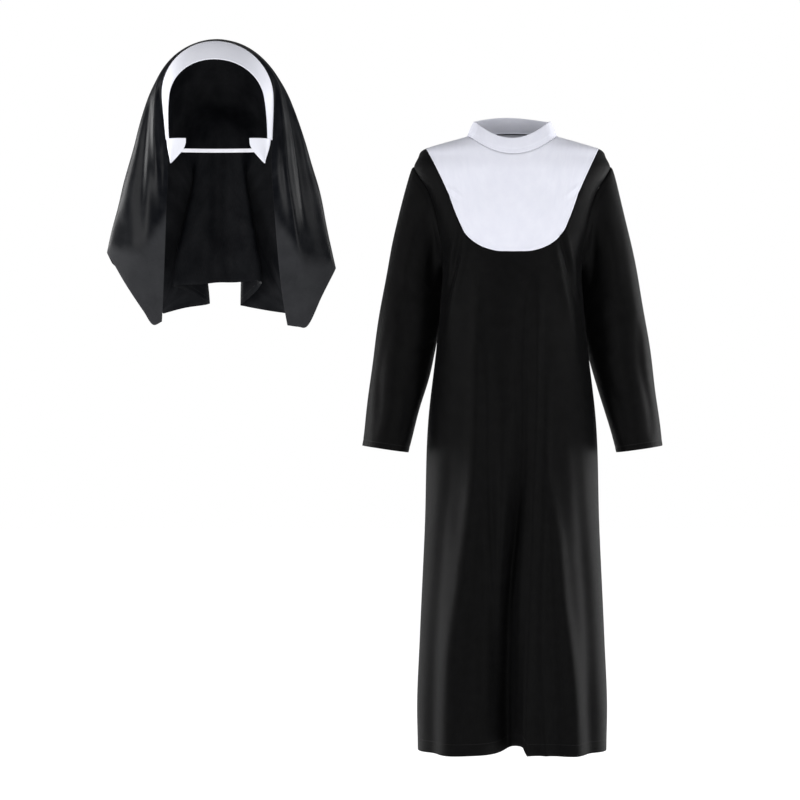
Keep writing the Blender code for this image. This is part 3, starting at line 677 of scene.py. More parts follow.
skirt_uv[..., 1] += chest_uv[-1, 0, 1]
chest_faces, chest_corners = patch(chest_index, chest_uv)
skirt_faces, skirt_corners = patch(skirt_index, skirt_uv)
front_points = np.concatenate((chest.reshape(-1, 3), skirt[1:].reshape(-1, 3)))
front_sewn = np.ones(len(front_points), bool)
front_sewn[skirt_index[-1, 1:-1]] = False
front_thick = np.concatenate((np.zeros(chest_index.size), np.repeat(hem_thick[1:], skirt.shape[1])))
robe_front = cloth("front_panel", front_points, np.concatenate((chest_faces, skirt_faces)),
                   np.concatenate((chest_corners, skirt_corners)), KNIT, front_sewn, front_thick)
hem_row = int(np.argmin(np.abs(levels - HEM_Z - ROBE_HEM)))
front_hem_stitches = stitched("front_hem_stitches", [skirt[hem_row, 2:-2]], black_thread)
finish_piece(robe_front, black_knit, "robe_front",
             [front_hem_stitches])

# ---- Robe, back panel -----------------------------------------------------------------------------
# Black polyester knit like the front, whole from the collar and the shoulder seams to the hem. It
# has no opening: the robe is pulled on over the head.
BACK_STEPS, BACK_ARM_STEPS, SHOULDER_STEPS = 150, 49, 19   # across, down the armhole, down the shoulder
NECK_HALF_WIDTH = 0.0985
NECK_SIDE_Z, NECK_FRONT_DROP, NECK_BACK_RISE = 0.001, 0.043, 0.011


def neck(turn):
    """The collar's seam as (turn, z): dropped at the front, raised a little at the back."""
    turn = np.asarray(turn, float)
    c = np.cos(turn * pi / 2)
    z = np.where(c >= 0, NECK_SIDE_Z - NECK_FRONT_DROP * c ** 2, NECK_SIDE_Z + NECK_BACK_RISE * c ** 2)
    part = turn_at(np.abs(NECK_HALF_WIDTH * np.sin(turn * pi / 2)), z)
    return np.where(c >= 0, part, 2 - part), z


def across_back(edge, z):
    """Places (turn, z) level across the back, from its right edge to its left as it is seen from behind."""
    share = even(0, 1, BACK_STEPS // 2)
    right = np.asarray(edge)[..., None] + (2 - np.asarray(edge)[..., None]) * share
    turn = np.concatenate((right, 4 - right[..., -2::-1]), axis=-1)
    return turn, np.broadcast_to(np.asarray(z)[..., None], turn.shape)


half_neck = neck(even(1, 2, BACK_STEPS // 2))
half_neck[0][0] = SHOULDER_SEAM
neck_line = (np.concatenate((half_neck[0], 4 - half_neck[0][-2::-1])),
             np.concatenate((half_neck[1], half_neck[1][-2::-1])))
arm_back = armhole(even(0, 1, BACK_ARM_STEPS), back=True)
shoulder_turn, shoulder_z = ruled(neck_line, across_back(*armhole(0, back=True)),
                                  even(0, 1, SHOULDER_STEPS))
arm_turns, arm_levels = across_back(*arm_back)
skirt_turns, skirt_levels = across_back(np.full(DOWN_STEPS + 1, 1.0), levels)
back_turn = np.concatenate((shoulder_turn, arm_turns[1:], skirt_turns[1:]))
back_z = np.concatenate((shoulder_z, arm_levels[1:], skirt_levels[1:]))
above = len(back_turn) - DOWN_STEPS
back = put_out(body(back_turn, back_z), np.concatenate((np.zeros(above), hem_relief[1:]))[:, None])
back_sewn = np.ones(back.shape[:2], bool)
back_sewn[-1, 1:-1] = False
back_thick = np.concatenate((np.zeros(above), hem_thick[1:]))[:, None]
robe_back = grid_cloth("back_panel", back, KNIT, back_sewn, back_thick)
back_hem_stitches = stitched("back_hem_stitches", [back[above + hem_row - 1, 2:-2]], black_thread)
finish_piece(robe_back, black_knit, "robe_back",
             [back_hem_stitches])

# ---- Yoke -----------------------------------------------------------------------------------------
# White polyester knit, let in between the collar and the black front panel, from one shoulder seam
# to the other. Its curved edge is turned in and pressed, so that it ends in a fine raised line.
YOKE_STEPS = 54
white_knit = knit("white_knit", (0.735, 0.745, 0.835), (0.80, 0.81, 0.89), 0.68, 0.25, 0.12,
                  (1.0, 1.0, 1.0), relief=0.25)
front_neck_turn, front_neck_z = neck(1 - yoke_parts)
front_neck_turn[0] = SHOULDER_SEAM
shares = even(0, 1, YOKE_STEPS) ** 0.9
edge_turn, edge_z = yoke_edge(yoke_parts)
neck_x = half_width_at(front_neck_z) * np.sin(front_neck_turn * pi / 2)
edge_x = half_width_at(edge_z) * np.sin(edge_turn * pi / 2)
yoke_x, yoke_z = ruled((neck_x, front_neck_z), (edge_x, edge_z), shares)
seam_x = half_width_at(yoke_z[:, :1]) * np.sin(SHOULDER_SEAM * pi / 2)
yoke_x = yoke_x + (seam_x - yoke_x[:, :1]) * np.exp(-yoke_parts / 0.05)
yoke_turn = np.minimum(turn_at(yoke_x, yoke_z), SHOULDER_SEAM)
EDGE_RIDGE, EDGE_RIDGE_AT, EDGE_RIDGE_WIDTH = 0.0010, 0.003, 0.0022
edge_distance = (1 - shares) * 0.16
edge_ridge = EDGE_RIDGE * bell(edge_distance - EDGE_RIDGE_AT, EDGE_RIDGE_WIDTH)
yoke = put_out(body(*both_sides(yoke_turn, yoke_z)), edge_ridge[:, None])
bib = grid_cloth("yoke", yoke, KNIT, sewn=True)
finish_piece(bib, white_knit, "bib")

# ---- Collar ---------------------------------------------------------------------------------------
# White knit folded double into a stand collar. Its fold is the top edge, and it is sewn to the neck
# with two rows of stitches just above the seam.
COLLAR_WALL = 0.0018
COLLAR_HEIGHT, COLLAR_TAPER = 0.033, 0.86
COLLAR_AROUND, COLLAR_UP = 200, 16
COLLAR_ROWS = (0.24, 0.10)       # heights of its two rows of stitches, in shares of its own
around = even(-2, 2, COLLAR_AROUND)
seam_turn, seam_z = neck(np.abs(around))
seam = body(seam_turn * np.where(around < 0, -1, 1), seam_z)
seam[-1] = seam[0]
rise = even(1, 0, COLLAR_UP)[:, None]
shrink = 1 - (1 - COLLAR_TAPER) * rise ** 1.15
sag = 0.0016 * np.sin(around * 3.1 + 0.7)[None, :] * rise ** 2
groove = -0.0005 * sum(bell(rise - height, 0.04) for height in COLLAR_ROWS)
fullness = 0.0003 * np.sin(rise * pi) + groove
stand = np.stack((seam[:, 0] * (shrink + fullness / 0.09), seam[:, 1] * (shrink + fullness / 0.065),
                  seam[:, 2] + COLLAR_HEIGHT * rise + sag), -1)
collar = grid_cloth("stand_collar", stand, COLLAR_WALL, sewn=rise == 0, closed=True)
white_thread = knit("white_thread", (0.62, 0.63, 0.72), (0.74, 0.75, 0.83), 0.5, 0.4, 0.2, (1, 1, 1),
                    wale=0.0004)
stitch_rows = [stand[int(COLLAR_UP * (1 - height))] for height in COLLAR_ROWS]
collar_rows = [np.concatenate((row, row[:1])) for row in stitch_rows]
collar_stitches = stitched("collar_stitches", collar_rows, white_thread, pitch=0.0026, length=0.0020)
# A white facing covers the back neck's seam allowance inside.
FACING_DEPTH, FACING_ALONG, FACING_DOWN = 0.016, 90, 10
FACING_WALL, FACING_INSET, FACING_RISE = 0.0008, 0.0016, 0.003
round_back = even(1.10, 2.90, FACING_ALONG)
facing_turn, facing_z = neck(round_back)
facing_turn = np.where(round_back > 2, 4 - facing_turn, facing_turn)
narrow = 0.35 + 0.65 * np.cos((round_back - 2) * pi / 2) ** 2
down = even(0, 1, FACING_DOWN)[:, None]
facing_levels = facing_z[None, :] + FACING_RISE - FACING_DEPTH * narrow * down
facing = put_out(body(facing_turn[None, :], facing_levels), -FACING_INSET)
neck_facing = grid_cloth("neck_facing", facing, FACING_WALL)
neck_facing.data.materials.append(white_knit)
finish_piece(collar, white_knit, "collar",
             [collar_stitches, neck_facing])

# ---- Sleeves --------------------------------------------------------------------------------------
# Black knit, one piece each, closed along the underside, set into the armhole with a little fullness
# at the shoulder. The cuff is open, with a narrow turned and stitched hem.
SEAM_GAP = 0.0004
Ring = namedtuple("Ring", "along outer_x outer_z inner_x inner_y inner_z half_depth")
SLEEVE = named(Ring, [
    (0, 0.221, -0.067, 0.156, 0, -0.285, 0.05), (0.12, 0.241, -0.138, 0.1505, 0.048, -0.318, 0.056),
    (0.26, 0.26, -0.222, 0.152, 0.05, -0.352, 0.061), (0.42, 0.28, -0.325, 0.157, 0.05, -0.41, 0.064),
    (0.6, 0.3, -0.445, 0.1745, 0.04, -0.5, 0.065), (0.8, 0.3165, -0.57, 0.202, 0.016, -0.594, 0.063),
    (1, 0.33, -0.678, 0.229, 0, -0.693, 0.06),
])
CAP_LENGTH, CAP_LIFT = 0.30, 0.020
CUFF_HEM = 0.012
SLEEVE_LENGTH = 0.56
SLEEVE_AROUND, SLEEVE_DOWN = 120, 130

# Creases of a sleeve, in degrees round it (0 its outer line, 90 its front) and in shares of its length.
SleeveCrease = namedtuple("SleeveCrease", "start_angle start end_angle end spread height")
SLEEVE_CREASES = named(SleeveCrease, [
    (100, 0.1, 128, 0.3, 13, -0.006), (62, 0.08, 74, 0.42, 15, 0.004), (118, 0.3, 70, 0.52, 9, -0.0028),
    (138, 0.36, 96, 0.5, 9, 0.0026), (150, 0.5, 108, 0.6, 9, -0.0022), (84, 0.46, 92, 0.96, 20, 0.003),
    (48, 0.5, 56, 0.98, 12, -0.003), (128, 0.62, 122, 0.99, 14, -0.0028),
    (250, 0.08, 238, 0.4, 14, -0.005), (292, 0.06, 286, 0.5, 16, 0.004),
    (226, 0.34, 262, 0.52, 9, -0.0028), (214, 0.44, 250, 0.6, 9, 0.0024),
    (270, 0.55, 264, 0.98, 18, 0.003), (308, 0.52, 302, 0.98, 12, -0.0028),
    (236, 0.64, 240, 0.98, 12, -0.0026),
])


def right_armhole(angle):
    """The armhole's seam at an angle of the sleeve, and the body's outward direction there."""
    turned = np.mod(angle, 2 * pi)
    rear = turned > pi
    part = np.where(rear, 2 * pi - turned, turned) / pi
    turn = np.where(rear, armhole(part, back=True)[0], armhole(part)[0])
    z = armhole(part)[1]
    across = body(turn + 0.010, z) - body(turn - 0.010, z)
    down = body(turn, z - 0.005) - body(turn, z + 0.005)
    return body(turn, z), unit(np.cross(down, across))


def sleeve_surface(angle, along):
    """Points of the right sleeve: angle 0 is its outer line, a quarter turn its front."""
    angle, along = np.broadcast_arrays(angle, along)
    outer_x, outer_z, inner_x, inner_y, inner_z, half_depth = columns_at(SLEEVE, along)
    near = (1 + np.cos(angle)) / 2
    points = np.stack((inner_x + (outer_x - inner_x) * near,
                       inner_y * (1 - near) - half_depth * np.sin(angle),
                       inner_z + (outer_z - inner_z) * near), -1)
    t = np.clip(along / CAP_LENGTH, 0, 1)
    seam_points, seam_out = right_armhole(angle[0])
    seam_points = seam_points + (SEAM_GAP * t + CAP_LIFT * near * t * (1 - t))[..., None] * seam_out
    blend = eased(t)[..., None]
    return seam_points * (1 - blend) + points * blend


def sleeve_relief(angle, along, wander):
    """How far creases and unevenness lift the sleeve at each place."""
    degrees = np.degrees(angle) % 360
    total = 0.0012 * np.sin(angle * 3 + along * 9 + wander) * np.sin(along * 13 + wander * 2)
    for crease in SLEEVE_CREASES:
        t = (along - crease.start) / (crease.end - crease.start)
        middle = crease.start_angle + (crease.end_angle - crease.start_angle) * t
        fade = np.sin(np.clip(t, 0, 1) * pi) ** 0.7
        away = (degrees - middle - 4 * np.sin(along * 17 + wander) + 180) % 360 - 180
        total = total + crease.height * fade * bell(away, crease.spread)
    return total * eased(along / 0.10)


for side, name in ((-1, "sleeve_left"), (1, "sleeve_right")):
    along = even(0, 1, SLEEVE_DOWN)[:, None]
    angle = -even(0, 2 * pi, SLEEVE_AROUND)[None, :] * side
    thick, relief = hem_shape((1 - along) * SLEEVE_LENGTH, CUFF_HEM)
    surface = sleeve_surface(angle, along)
    lift = sleeve_relief(angle, along, 0.9 + side * 1.7) + relief
    surface = put_out(surface, lift * side)
    surface[:, -1] = surface[:, 0] = (surface[:, 0] + surface[:, -1]) / 2
    surface = surface * np.array((side, 1, 1))
    sleeve = grid_cloth(name + "_cloth", surface, KNIT, along == 0, thick, closed=True)
    cuff_row = int(np.argmin(np.abs((1 - along[:, 0]) * SLEEVE_LENGTH - CUFF_HEM)))
    cuff_stitches = stitched(name + "_cuff_stitches", [surface[cuff_row]], black_thread)
    finish_piece(sleeve, black_knit, name,
                 [cuff_stitches])

# ---- Veil -----------------------------------------------------------------------------------------
# Black satin in one piece, gathered onto the band's rear edge and falling over the crown to a hem
# behind. Its two front edges hang free, and all its free edges have a narrow rolled hem. At the
# centre back it hangs in one wide box fold, so that its hem shows in two levels.
SATIN = 0.0008
VEIL_X, VEIL_LEAN, TAB_Z = -0.642, 0.035, -0.018
Arch = namedtuple("Arch", "back_along top_y top_z turned temple_x temple_y temple_z "
                          "jaw_x jaw_y jaw_z hem_x hem_y hem_z hem_sway")
VEIL = named(Arch, [
    (0, -0.05, 0.2055, 90, 0.1225, -0.036, 0.085, 0.114, -0.046, -0.09, 0.154, -0.076, -0.412, 0.016),
    (0.07, -0.01, 0.214, 80, 0.144, -0.022, 0.08, 0.16, -0.042, -0.095, 0.184, -0.062, -0.392, 0.01),
    (0.2, 0.04, 0.212, 64, 0.16, 0.01, 0.075, 0.206, 0.004, -0.08, 0.251, 0.004, -0.27, 0.003),
    (0.4, 0.1, 0.148, 66, 0.133, 0.062, 0.03, 0.176, 0.06, -0.12, 0.205, 0.06, -0.32, 0),
    (0.6, 0.118, 0.03, 74, 0.108, 0.098, -0.05, 0.144, 0.096, -0.18, 0.168, 0.094, -0.372, 0),
    (0.8, 0.112, -0.135, 80, 0.078, 0.11, -0.17, 0.106, 0.112, -0.26, 0.136, 0.112, -0.378, 0),
    (1, 0.1, -0.325, 84, 0.048, 0.11, -0.345, 0.078, 0.116, -0.365, 0.11, 0.118, -0.376, 0),
])
TEMPLE, JAW = 0.34, 0.60         # where they lie, in shares across from the top to the hem

# The box fold at the centre back: where its cloth lies at the fold's top and along the hem.
BoxFold = namedtuple("BoxFold", "across top_x top_y x y z")
BOX_FOLD = named(BoxFold, [
    (-1, -0.15, 0.094, -0.132, 0.104, -0.385), (-0.82, -0.116, 0.1, -0.084, 0.116, -0.372),
    (-0.66, -0.062, 0.108, -0.034, 0.119, -0.364), (-0.62, -0.05, 0.106, -0.029, 0.114, -0.362),
    (-0.57, -0.047, 0.102, -0.036, 0.108, -0.358), (-0.42, -0.06, 0.092, -0.092, 0.086, -0.33),
    (-0.37, -0.065, 0.086, -0.111, 0.078, -0.325), (-0.32, -0.06, 0.08, -0.106, 0.071, -0.323),
    (-0.16, -0.028, 0.078, -0.046, 0.069, -0.321), (-0.03, -0.01, 0.084, -0.012, 0.08, -0.317),
    (0.14, 0.014, 0.08, 0.03, 0.07, -0.317), (0.28, 0.046, 0.08, 0.082, 0.071, -0.314),
    (0.33, 0.052, 0.086, 0.088, 0.078, -0.318), (0.38, 0.049, 0.092, 0.08, 0.088, -0.33),
    (0.5, 0.04, 0.104, 0.044, 0.11, -0.362), (0.54, 0.044, 0.107, 0.038, 0.116, -0.366),
    (0.59, 0.054, 0.108, 0.046, 0.12, -0.368), (0.78, 0.112, 0.102, 0.098, 0.116, -0.378),
    (1, 0.152, 0.094, 0.152, 0.104, -0.386),
])

# The free hems beside the face: their corners hang a little differently on the left and the right.
Corner = namedtuple("Corner", "back_along left_x left_z right_x right_z")
CORNERS = named(Corner, [
    (0, -0.1225, -0.408, 0.151, -0.416), (0.03, -0.141, -0.415, 0.174, -0.419),
    (0.07, -0.164, -0.384, 0.194, -0.417), (0.12, -0.205, -0.324, 0.224, -0.354),
    (0.2, -0.249, -0.254, 0.254, -0.289), (0.26, -0.242, -0.274, 0.246, -0.296),
    (0.33, -0.226, -0.299, 0.228, -0.309),
])
# Folds of the veil: places in shares across (-1 left hem, 1 right hem) and back along it, with how far
# the fold stands out and its spread in shares back along.
VeilFold = namedtuple("VeilFold", "across back_along height front_spread rear_spread")
VEIL_FOLDS = [named(VeilFold, rows) for rows in [
    [  # roll of cloth beside the band, left
        (-0.1, 0.034, 0, 0.022, 0.022), (-0.24, 0.038, 0.004, 0.02, 0.02),
        (-0.38, 0.04, 0.007, 0.02, 0.018), (-0.5, 0.038, 0.009, 0.02, 0.017),
        (-0.58, 0.03, 0.007, 0.02, 0.017), (-0.68, 0.016, 0.003, 0.02, 0.018),
        (-0.78, 0.01, 0, 0.02, 0.02),
    ],
    [  # shallow hollow behind it
        (-0.26, 0.1, 0, 0.03, 0.03), (-0.4, 0.105, -0.005, 0.03, 0.036),
        (-0.52, 0.105, -0.008, 0.03, 0.04), (-0.66, 0.095, -0.007, 0.03, 0.04),
        (-0.84, 0.08, 0, 0.028, 0.034),
    ],
    [  # the same, right
        (0.1, 0.034, 0, 0.02, 0.022), (0.24, 0.038, 0.004, 0.018, 0.02),
        (0.38, 0.042, 0.007, 0.018, 0.018), (0.5, 0.044, 0.009, 0.018, 0.016),
        (0.62, 0.048, 0.01, 0.02, 0.016), (0.72, 0.056, 0.007, 0.022, 0.018),
        (0.84, 0.066, 0.002, 0.024, 0.022), (0.94, 0.072, 0, 0.024, 0.024),
    ],
    [
        (0.26, 0.1, 0, 0.028, 0.032), (0.4, 0.106, -0.006, 0.028, 0.038),
        (0.54, 0.11, -0.01, 0.028, 0.042), (0.7, 0.114, -0.01, 0.028, 0.042),
        (0.84, 0.122, -0.005, 0.028, 0.036), (0.98, 0.126, 0, 0.026, 0.032),
    ],
    [  # folds that fall behind the shoulders
        (-0.3, 0.36, 0, 0.05, 0.05), (-0.55, 0.4, -0.01, 0.05, 0.05), (-1, 0.44, -0.016, 0.055, 0.055),
    ],
    [
        (-0.3, 0.5, 0, 0.05, 0.05), (-0.6, 0.545, 0.01, 0.045, 0.05), (-1, 0.6, 0.014, 0.05, 0.055),
    ],
    [
        (0.3, 0.37, 0, 0.05, 0.05), (0.58, 0.41, -0.011, 0.05, 0.05), (1, 0.45, -0.017, 0.055, 0.055),
    ],
    [
        (0.3, 0.51, 0, 0.05, 0.05), (0.62, 0.56, 0.01, 0.045, 0.05), (1, 0.615, 0.014, 0.05, 0.055),
    ],
]]


def smooth_step(start, end, start_slope, end_slope, length, t):
    """A cubic from start to end with those slopes, at shares t of its length."""
    t = np.clip(t, 0, 1)
    return ((1 + 2 * t) * (1 - t) ** 2 * start + t * (1 - t) ** 2 * length * start_slope
            + t * t * (3 - 2 * t) * end - t * t * (1 - t) * length * end_slope)


def veil_arch(across, back_along):
    """Points of the veil without its folds. across runs from the left hem (-1) over the top to the right.

    Each arch is part of an ellipse over the crown, down to the temples, and a smooth line from there by
    the jaw to the hem.
    """
    across, back_along = np.broadcast_arrays(np.asarray(across, float), np.asarray(back_along, float))
    row = Arch(back_along, *columns_at(VEIL, back_along))
    top = np.stack((0 * row.top_y, row.top_y, row.top_z), -1)
    temple = np.stack((row.temple_x, row.temple_y, row.temple_z), -1)
    jaw = np.stack((row.jaw_x, row.jaw_y, row.jaw_z), -1)
    hem = np.stack((row.hem_x, row.hem_y, row.hem_z), -1)
    far = np.abs(across)[..., None]
    full = np.radians(row.turned)[..., None]
    turned = np.minimum(far / TEMPLE, 1) * full
    width, drop, fallen = temple[..., :1], (temple - top)[..., 1:], 1 - np.cos(full)
    crown = np.concatenate((width * np.sin(turned) / np.sin(full),
                            top[..., 1:] + drop * (1 - np.cos(turned)) / fallen), -1)
    leaving = full / TEMPLE * np.concatenate((width / np.tan(full), drop * np.sin(full) / fallen), -1)
    by_jaw = (jaw - temple) / (JAW - TEMPLE) * 0.5 + (hem - jaw) / (1 - JAW) * 0.5
    ending = (hem - jaw) / (1 - JAW)
    upper = smooth_step(temple, jaw, leaving, by_jaw, JAW - TEMPLE, (far - TEMPLE) / (JAW - TEMPLE))
    lower = smooth_step(jaw, hem, by_jaw, ending, 1 - JAW, (far - JAW) / (1 - JAW))
    points = np.where(far < TEMPLE, crown, np.where(far < JAW, upper, lower))
    points[..., 0] *= np.sign(across)
    points[..., 0] += VEIL_X - VEIL_LEAN * np.maximum(points[..., 2] - TAB_Z, 0) + row.hem_sway * across ** 4
    return points


def veil_relief(across, back_along):
    """How far the veil's folds stand out at each place."""
    total = 0.0008 * np.sin(across * 17 + back_along * 23) * np.sin(back_along * 41 - across * 7)
    for fold in VEIL_FOLDS:
        reach = np.abs([row.across for row in fold])
        same_side = across * fold[0].across > 0
        rows = through(reach, [row[1:] for row in fold], np.abs(across))
        middle, height, front, rear = np.moveaxis(rows, -1, 0)
        inside = same_side & (np.abs(across) >= reach[0])
        away = back_along - middle
        spread = np.where(away < 0, front, rear)
        total = total + np.where(inside, height * bell(away, spread), 0)
    return total * np.minimum(back_along / 0.02, 1)


VEIL_ACROSS, VEIL_BACK = 300, 130
BAND_END_Z = -0.0100
band_reach = TEMPLE              # how far across the band's seam runs: to where it has come down to its end
for _ in range(40):
    band_reach += 0.2 * float(veil_arch(band_reach, 0.0)[2] - BAND_END_Z)
columns = even(-1, 1, VEIL_ACROSS)[None, :]
rows_back = even(0, 1, VEIL_BACK)[:, None] ** 1.2
arch = veil_arch(columns, rows_back)
veil_points = put_out(arch, -veil_relief(columns, rows_back))

# The free hems' corners, then the box fold.
left_x, left_z, right_x, right_z = columns_at(CORNERS, rows_back[:, 0])
for side, x, z in ((-1, left_x, left_z), (1, right_x, right_z)):
    hem_now = veil_arch(side, rows_back[:, 0])
    wanted = np.stack((x + VEIL_X - hem_now[:, 0], 0 * x, z - hem_now[:, 2]), -1)
    ending = eased((CORNERS[-1].back_along - rows_back) / 0.08)
    share = eased((columns * side - 0.62) / 0.38) * ending
    veil_points += share[..., None] * wanted[:, None]
laid = through([k.across for k in BOX_FOLD], [k[1:] for k in BOX_FOLD], columns)
fallen = eased((rows_back - 0.62) / 0.42)[..., None]
levelled = eased((rows_back - 0.80) / 0.20)[..., None]
plan = np.concatenate((laid[..., :2] + VEIL_X * np.array((1, 0)) + (laid[..., 2:4] - laid[..., :2]) * fallen,
                       arch[..., 2:] + (laid[..., 4:] - arch[-1:, :, 2:]) * levelled), -1)
gathered = eased((rows_back - 0.50) / 0.13)[..., None]
veil_points += (plan - veil_points) * gathered
veil_grid = veil_points[:, ::-1]


def satin(name, low, high, roughness, specular, sheen, thread, relief, paler_rougher_places=()):
    """Satin: fine threads lying one way, with a soft gloss that is uneven along them."""
    material, add, link, maths, shader = nodes_of(name)
    place = add("ShaderNodeUVMap", uv_map="cloth").outputs[0]
    stretched = add("ShaderNodeMapping")
    stretched.inputs["Scale"].default_value = (1 / thread, 0.06 / thread, 1)
    link(place, stretched.inputs["Vector"])
    threads = add("ShaderNodeTexNoise", Scale=1.0, Detail=3.0, Roughness=0.6)
    link(stretched.outputs[0], threads.inputs["Vector"])
    slow = add("ShaderNodeTexNoise", Scale=26.0, Detail=3.0, Roughness=0.5)
    link(place, slow.inputs["Vector"])
    shade = maths("ADD", maths("MULTIPLY", threads.outputs["Fac"], 0.5),
                  maths("MULTIPLY", slow.outputs["Fac"], 0.5))
    gloss = add("ShaderNodeMapRange", From_Min=0.3, From_Max=0.7,
                To_Min=roughness - 0.04, To_Max=roughness + 0.05)
    link(shade, gloss.inputs["Value"])
    rough = gloss.outputs[0]
    # Each marked place is made paler and rougher. On the veil's lower front corners the paler colour is
    # painted light: it stands in for the light those corners catch as they face the front.
    for marked_place, paler, rougher in paler_rougher_places:
        there = add("ShaderNodeAttribute", attribute_name=marked_place).outputs["Fac"]
        shade = maths("ADD", shade, maths("MULTIPLY", there, paler))
        rough = maths("ADD", rough, maths("MULTIPLY", there, rougher))
    link(rough, shader.inputs["Roughness"])
    ramp = add("ShaderNodeMapRange", From_Min=0.46, From_Max=1.5)
    link(shade, ramp.inputs["Value"])
    finish_face(add, link, shader, ramp.outputs[0], low, high, threads.outputs["Fac"], relief, 0.0001, {
        "Specular IOR Level": specular, "Sheen Weight": sheen, "Sheen Roughness": 0.35})
    return material


# The veil's lower front corners get a painted highlight, a paler colour for the light they catch, and a
# rougher finish; its inner face, the satin's reverse, is a little paler and rougher.
black_satin = satin("black_satin", (0.0012, 0.0017, 0.0032), (0.045, 0.046, 0.050), 0.36, 0.10, 0.0,
                    0.0004, 0.22, paler_rougher_places=[("matte_painted_lit_corner", 0.55, 0.30), ("inner_face", 0.07, 0.24)])
grid_across = np.abs(columns[:, ::-1])
# Mask of the lower front corners, where the painted highlight and the rougher finish go.
matte_painted_lit = eased((grid_across - 0.68 - rows_back * 1.4) / 0.06) * eased((0.30 - rows_back) / 0.06)
veil = grid_cloth("veil_cloth", veil_grid, SATIN, (rows_back == 0) & (grid_across < band_reach),
                  values={"matte_painted_lit_corner": matte_painted_lit.reshape(-1)})
veil_lines = [veil_grid[-3], veil_grid[:, 4], veil_grid[:, -5]]
veil_stitches = stitched("veil_hem_stitches", veil_lines, black_thread, pitch=0.0028, length=0.0020,
                         thread=0.0004)
finish_piece(veil, black_satin, "veil",
             [veil_stitches])

# ---- Head band ------------------------------------------------------------------------------------
# White satin stiffened with interlining, over the forehead and down both sides of the face. The
# veil is sewn to its rear edge, and its front edge is turned in and pressed.
BAND_WALL = 0.0022
BAND_TOP_TURN, BAND_SIDE_TURN = 0.0425, 0.0070
BAND_TOP_DEPTH, BAND_SIDE_DEPTH = 0.038, 0.046
BAND_ALONG, BAND_WIDE = 200, 22
white_satin = satin("white_satin", (0.76, 0.77, 0.84), (0.90, 0.90, 0.95), 0.46, 0.35, 0.10, 0.0005, 0.20)


def band(part, width):
    """Points of the band: part from its left end (-1) over the forehead to its right, width from its
    seam with the veil (0) to its free front edge (1)."""
    edge = veil_arch(part * band_reach, 0.0)
    above_tab = np.maximum(edge[..., 2] - TAB_Z, 0)
    high = (above_tab / (VEIL[0].top_z - TAB_Z)) ** 1.5
    out = unit(np.stack((edge[..., 0] - VEIL_X + VEIL_LEAN * above_tab, 0 * high,
                         np.maximum(edge[..., 2] - 0.085, 0)), -1))
    narrowing = BAND_SIDE_TURN + (BAND_TOP_TURN - BAND_SIDE_TURN) * high
    forward = BAND_SIDE_DEPTH + (BAND_TOP_DEPTH - BAND_SIDE_DEPTH) * high
    moved = out * (narrowing * width - 0.003 * np.sin(pi * width))[..., None]
    return edge - moved - np.stack((0 * high, forward * width, 0 * high), -1)


along_band, across_band = np.broadcast_arrays(even(1, -1, BAND_ALONG)[None, :],
                                              even(1, 0, BAND_WIDE)[:, None])
press = sum(-0.0004 * bell(across_band - line, 0.025) for line in (0.93, 0.07))
band_grid = put_out(band(along_band, across_band), press)
head_band = grid_cloth("face_band", band_grid, BAND_WALL, across_band == 0)
band_stitches = stitched("band_stitches", [band_grid[-3]], white_thread, pitch=0.0030, length=0.0022)
finish_piece(head_band, white_satin, "head_band",
             [band_stitches])

# ---- Band tabs ------------------------------------------------------------------------------------
# The band's pointed ends, turned in under the jaw: two layers of the same stiffened satin, edge stitched.
TabRow = namedtuple("TabRow", "z outer_x inner_x rear_y")
TAB = named(TabRow, [
    (-0.0108, 0.1135, 0.0695, -0.05), (-0.023, 0.112, 0.0705, -0.056), (-0.035, 0.1095, 0.0757, -0.066),
    (-0.05, 0.1055, 0.088, -0.078), (-0.064, 0.102, 0.1008, -0.088),
])
TAB_FRONT_Y, TAB_ROUND = -0.092, 0.004
TAB_STEPS = 28


def tab(turned, z):
    """Points of the right tab: turned runs from its rear edge (0) round to its inner edge (1)."""
    outer_x, inner_x, rear_y = columns_at(TAB, z, -1)
    rear = np.stack((outer_x, rear_y, z), -1)
    corner = np.stack((outer_x + 0.75 * TAB_ROUND, 0 * z + TAB_FRONT_Y - TAB_ROUND, z), -1)
    inner = np.stack((inner_x, 0 * z + TAB_FRONT_Y, z), -1)
    u = turned[..., None]
    return (1 - u) ** 2 * rear + 2 * u * (1 - u) * corner + u * u * inner


for side, name in ((-1, "band_tab_left"), (1, "band_tab_right")):
    down = even(TAB[0].z, TAB[-1].z, TAB_STEPS)[:, None]
    turned = even(0, 1, TAB_STEPS)[None, ::-side]
    turned, down = np.broadcast_arrays(turned, down)
    surface = tab(turned, down) * np.array((side, 1, 1)) + np.array((VEIL_X, 0, 0))
    near_edge = np.minimum(turned, 1 - turned) * 0.04
    surface[..., 1] += 0.0004 * bell(near_edge - 0.003, 0.0012)
    piece = grid_cloth(name + "_cloth", surface, BAND_WALL)
    finish_piece(piece, white_satin, name)

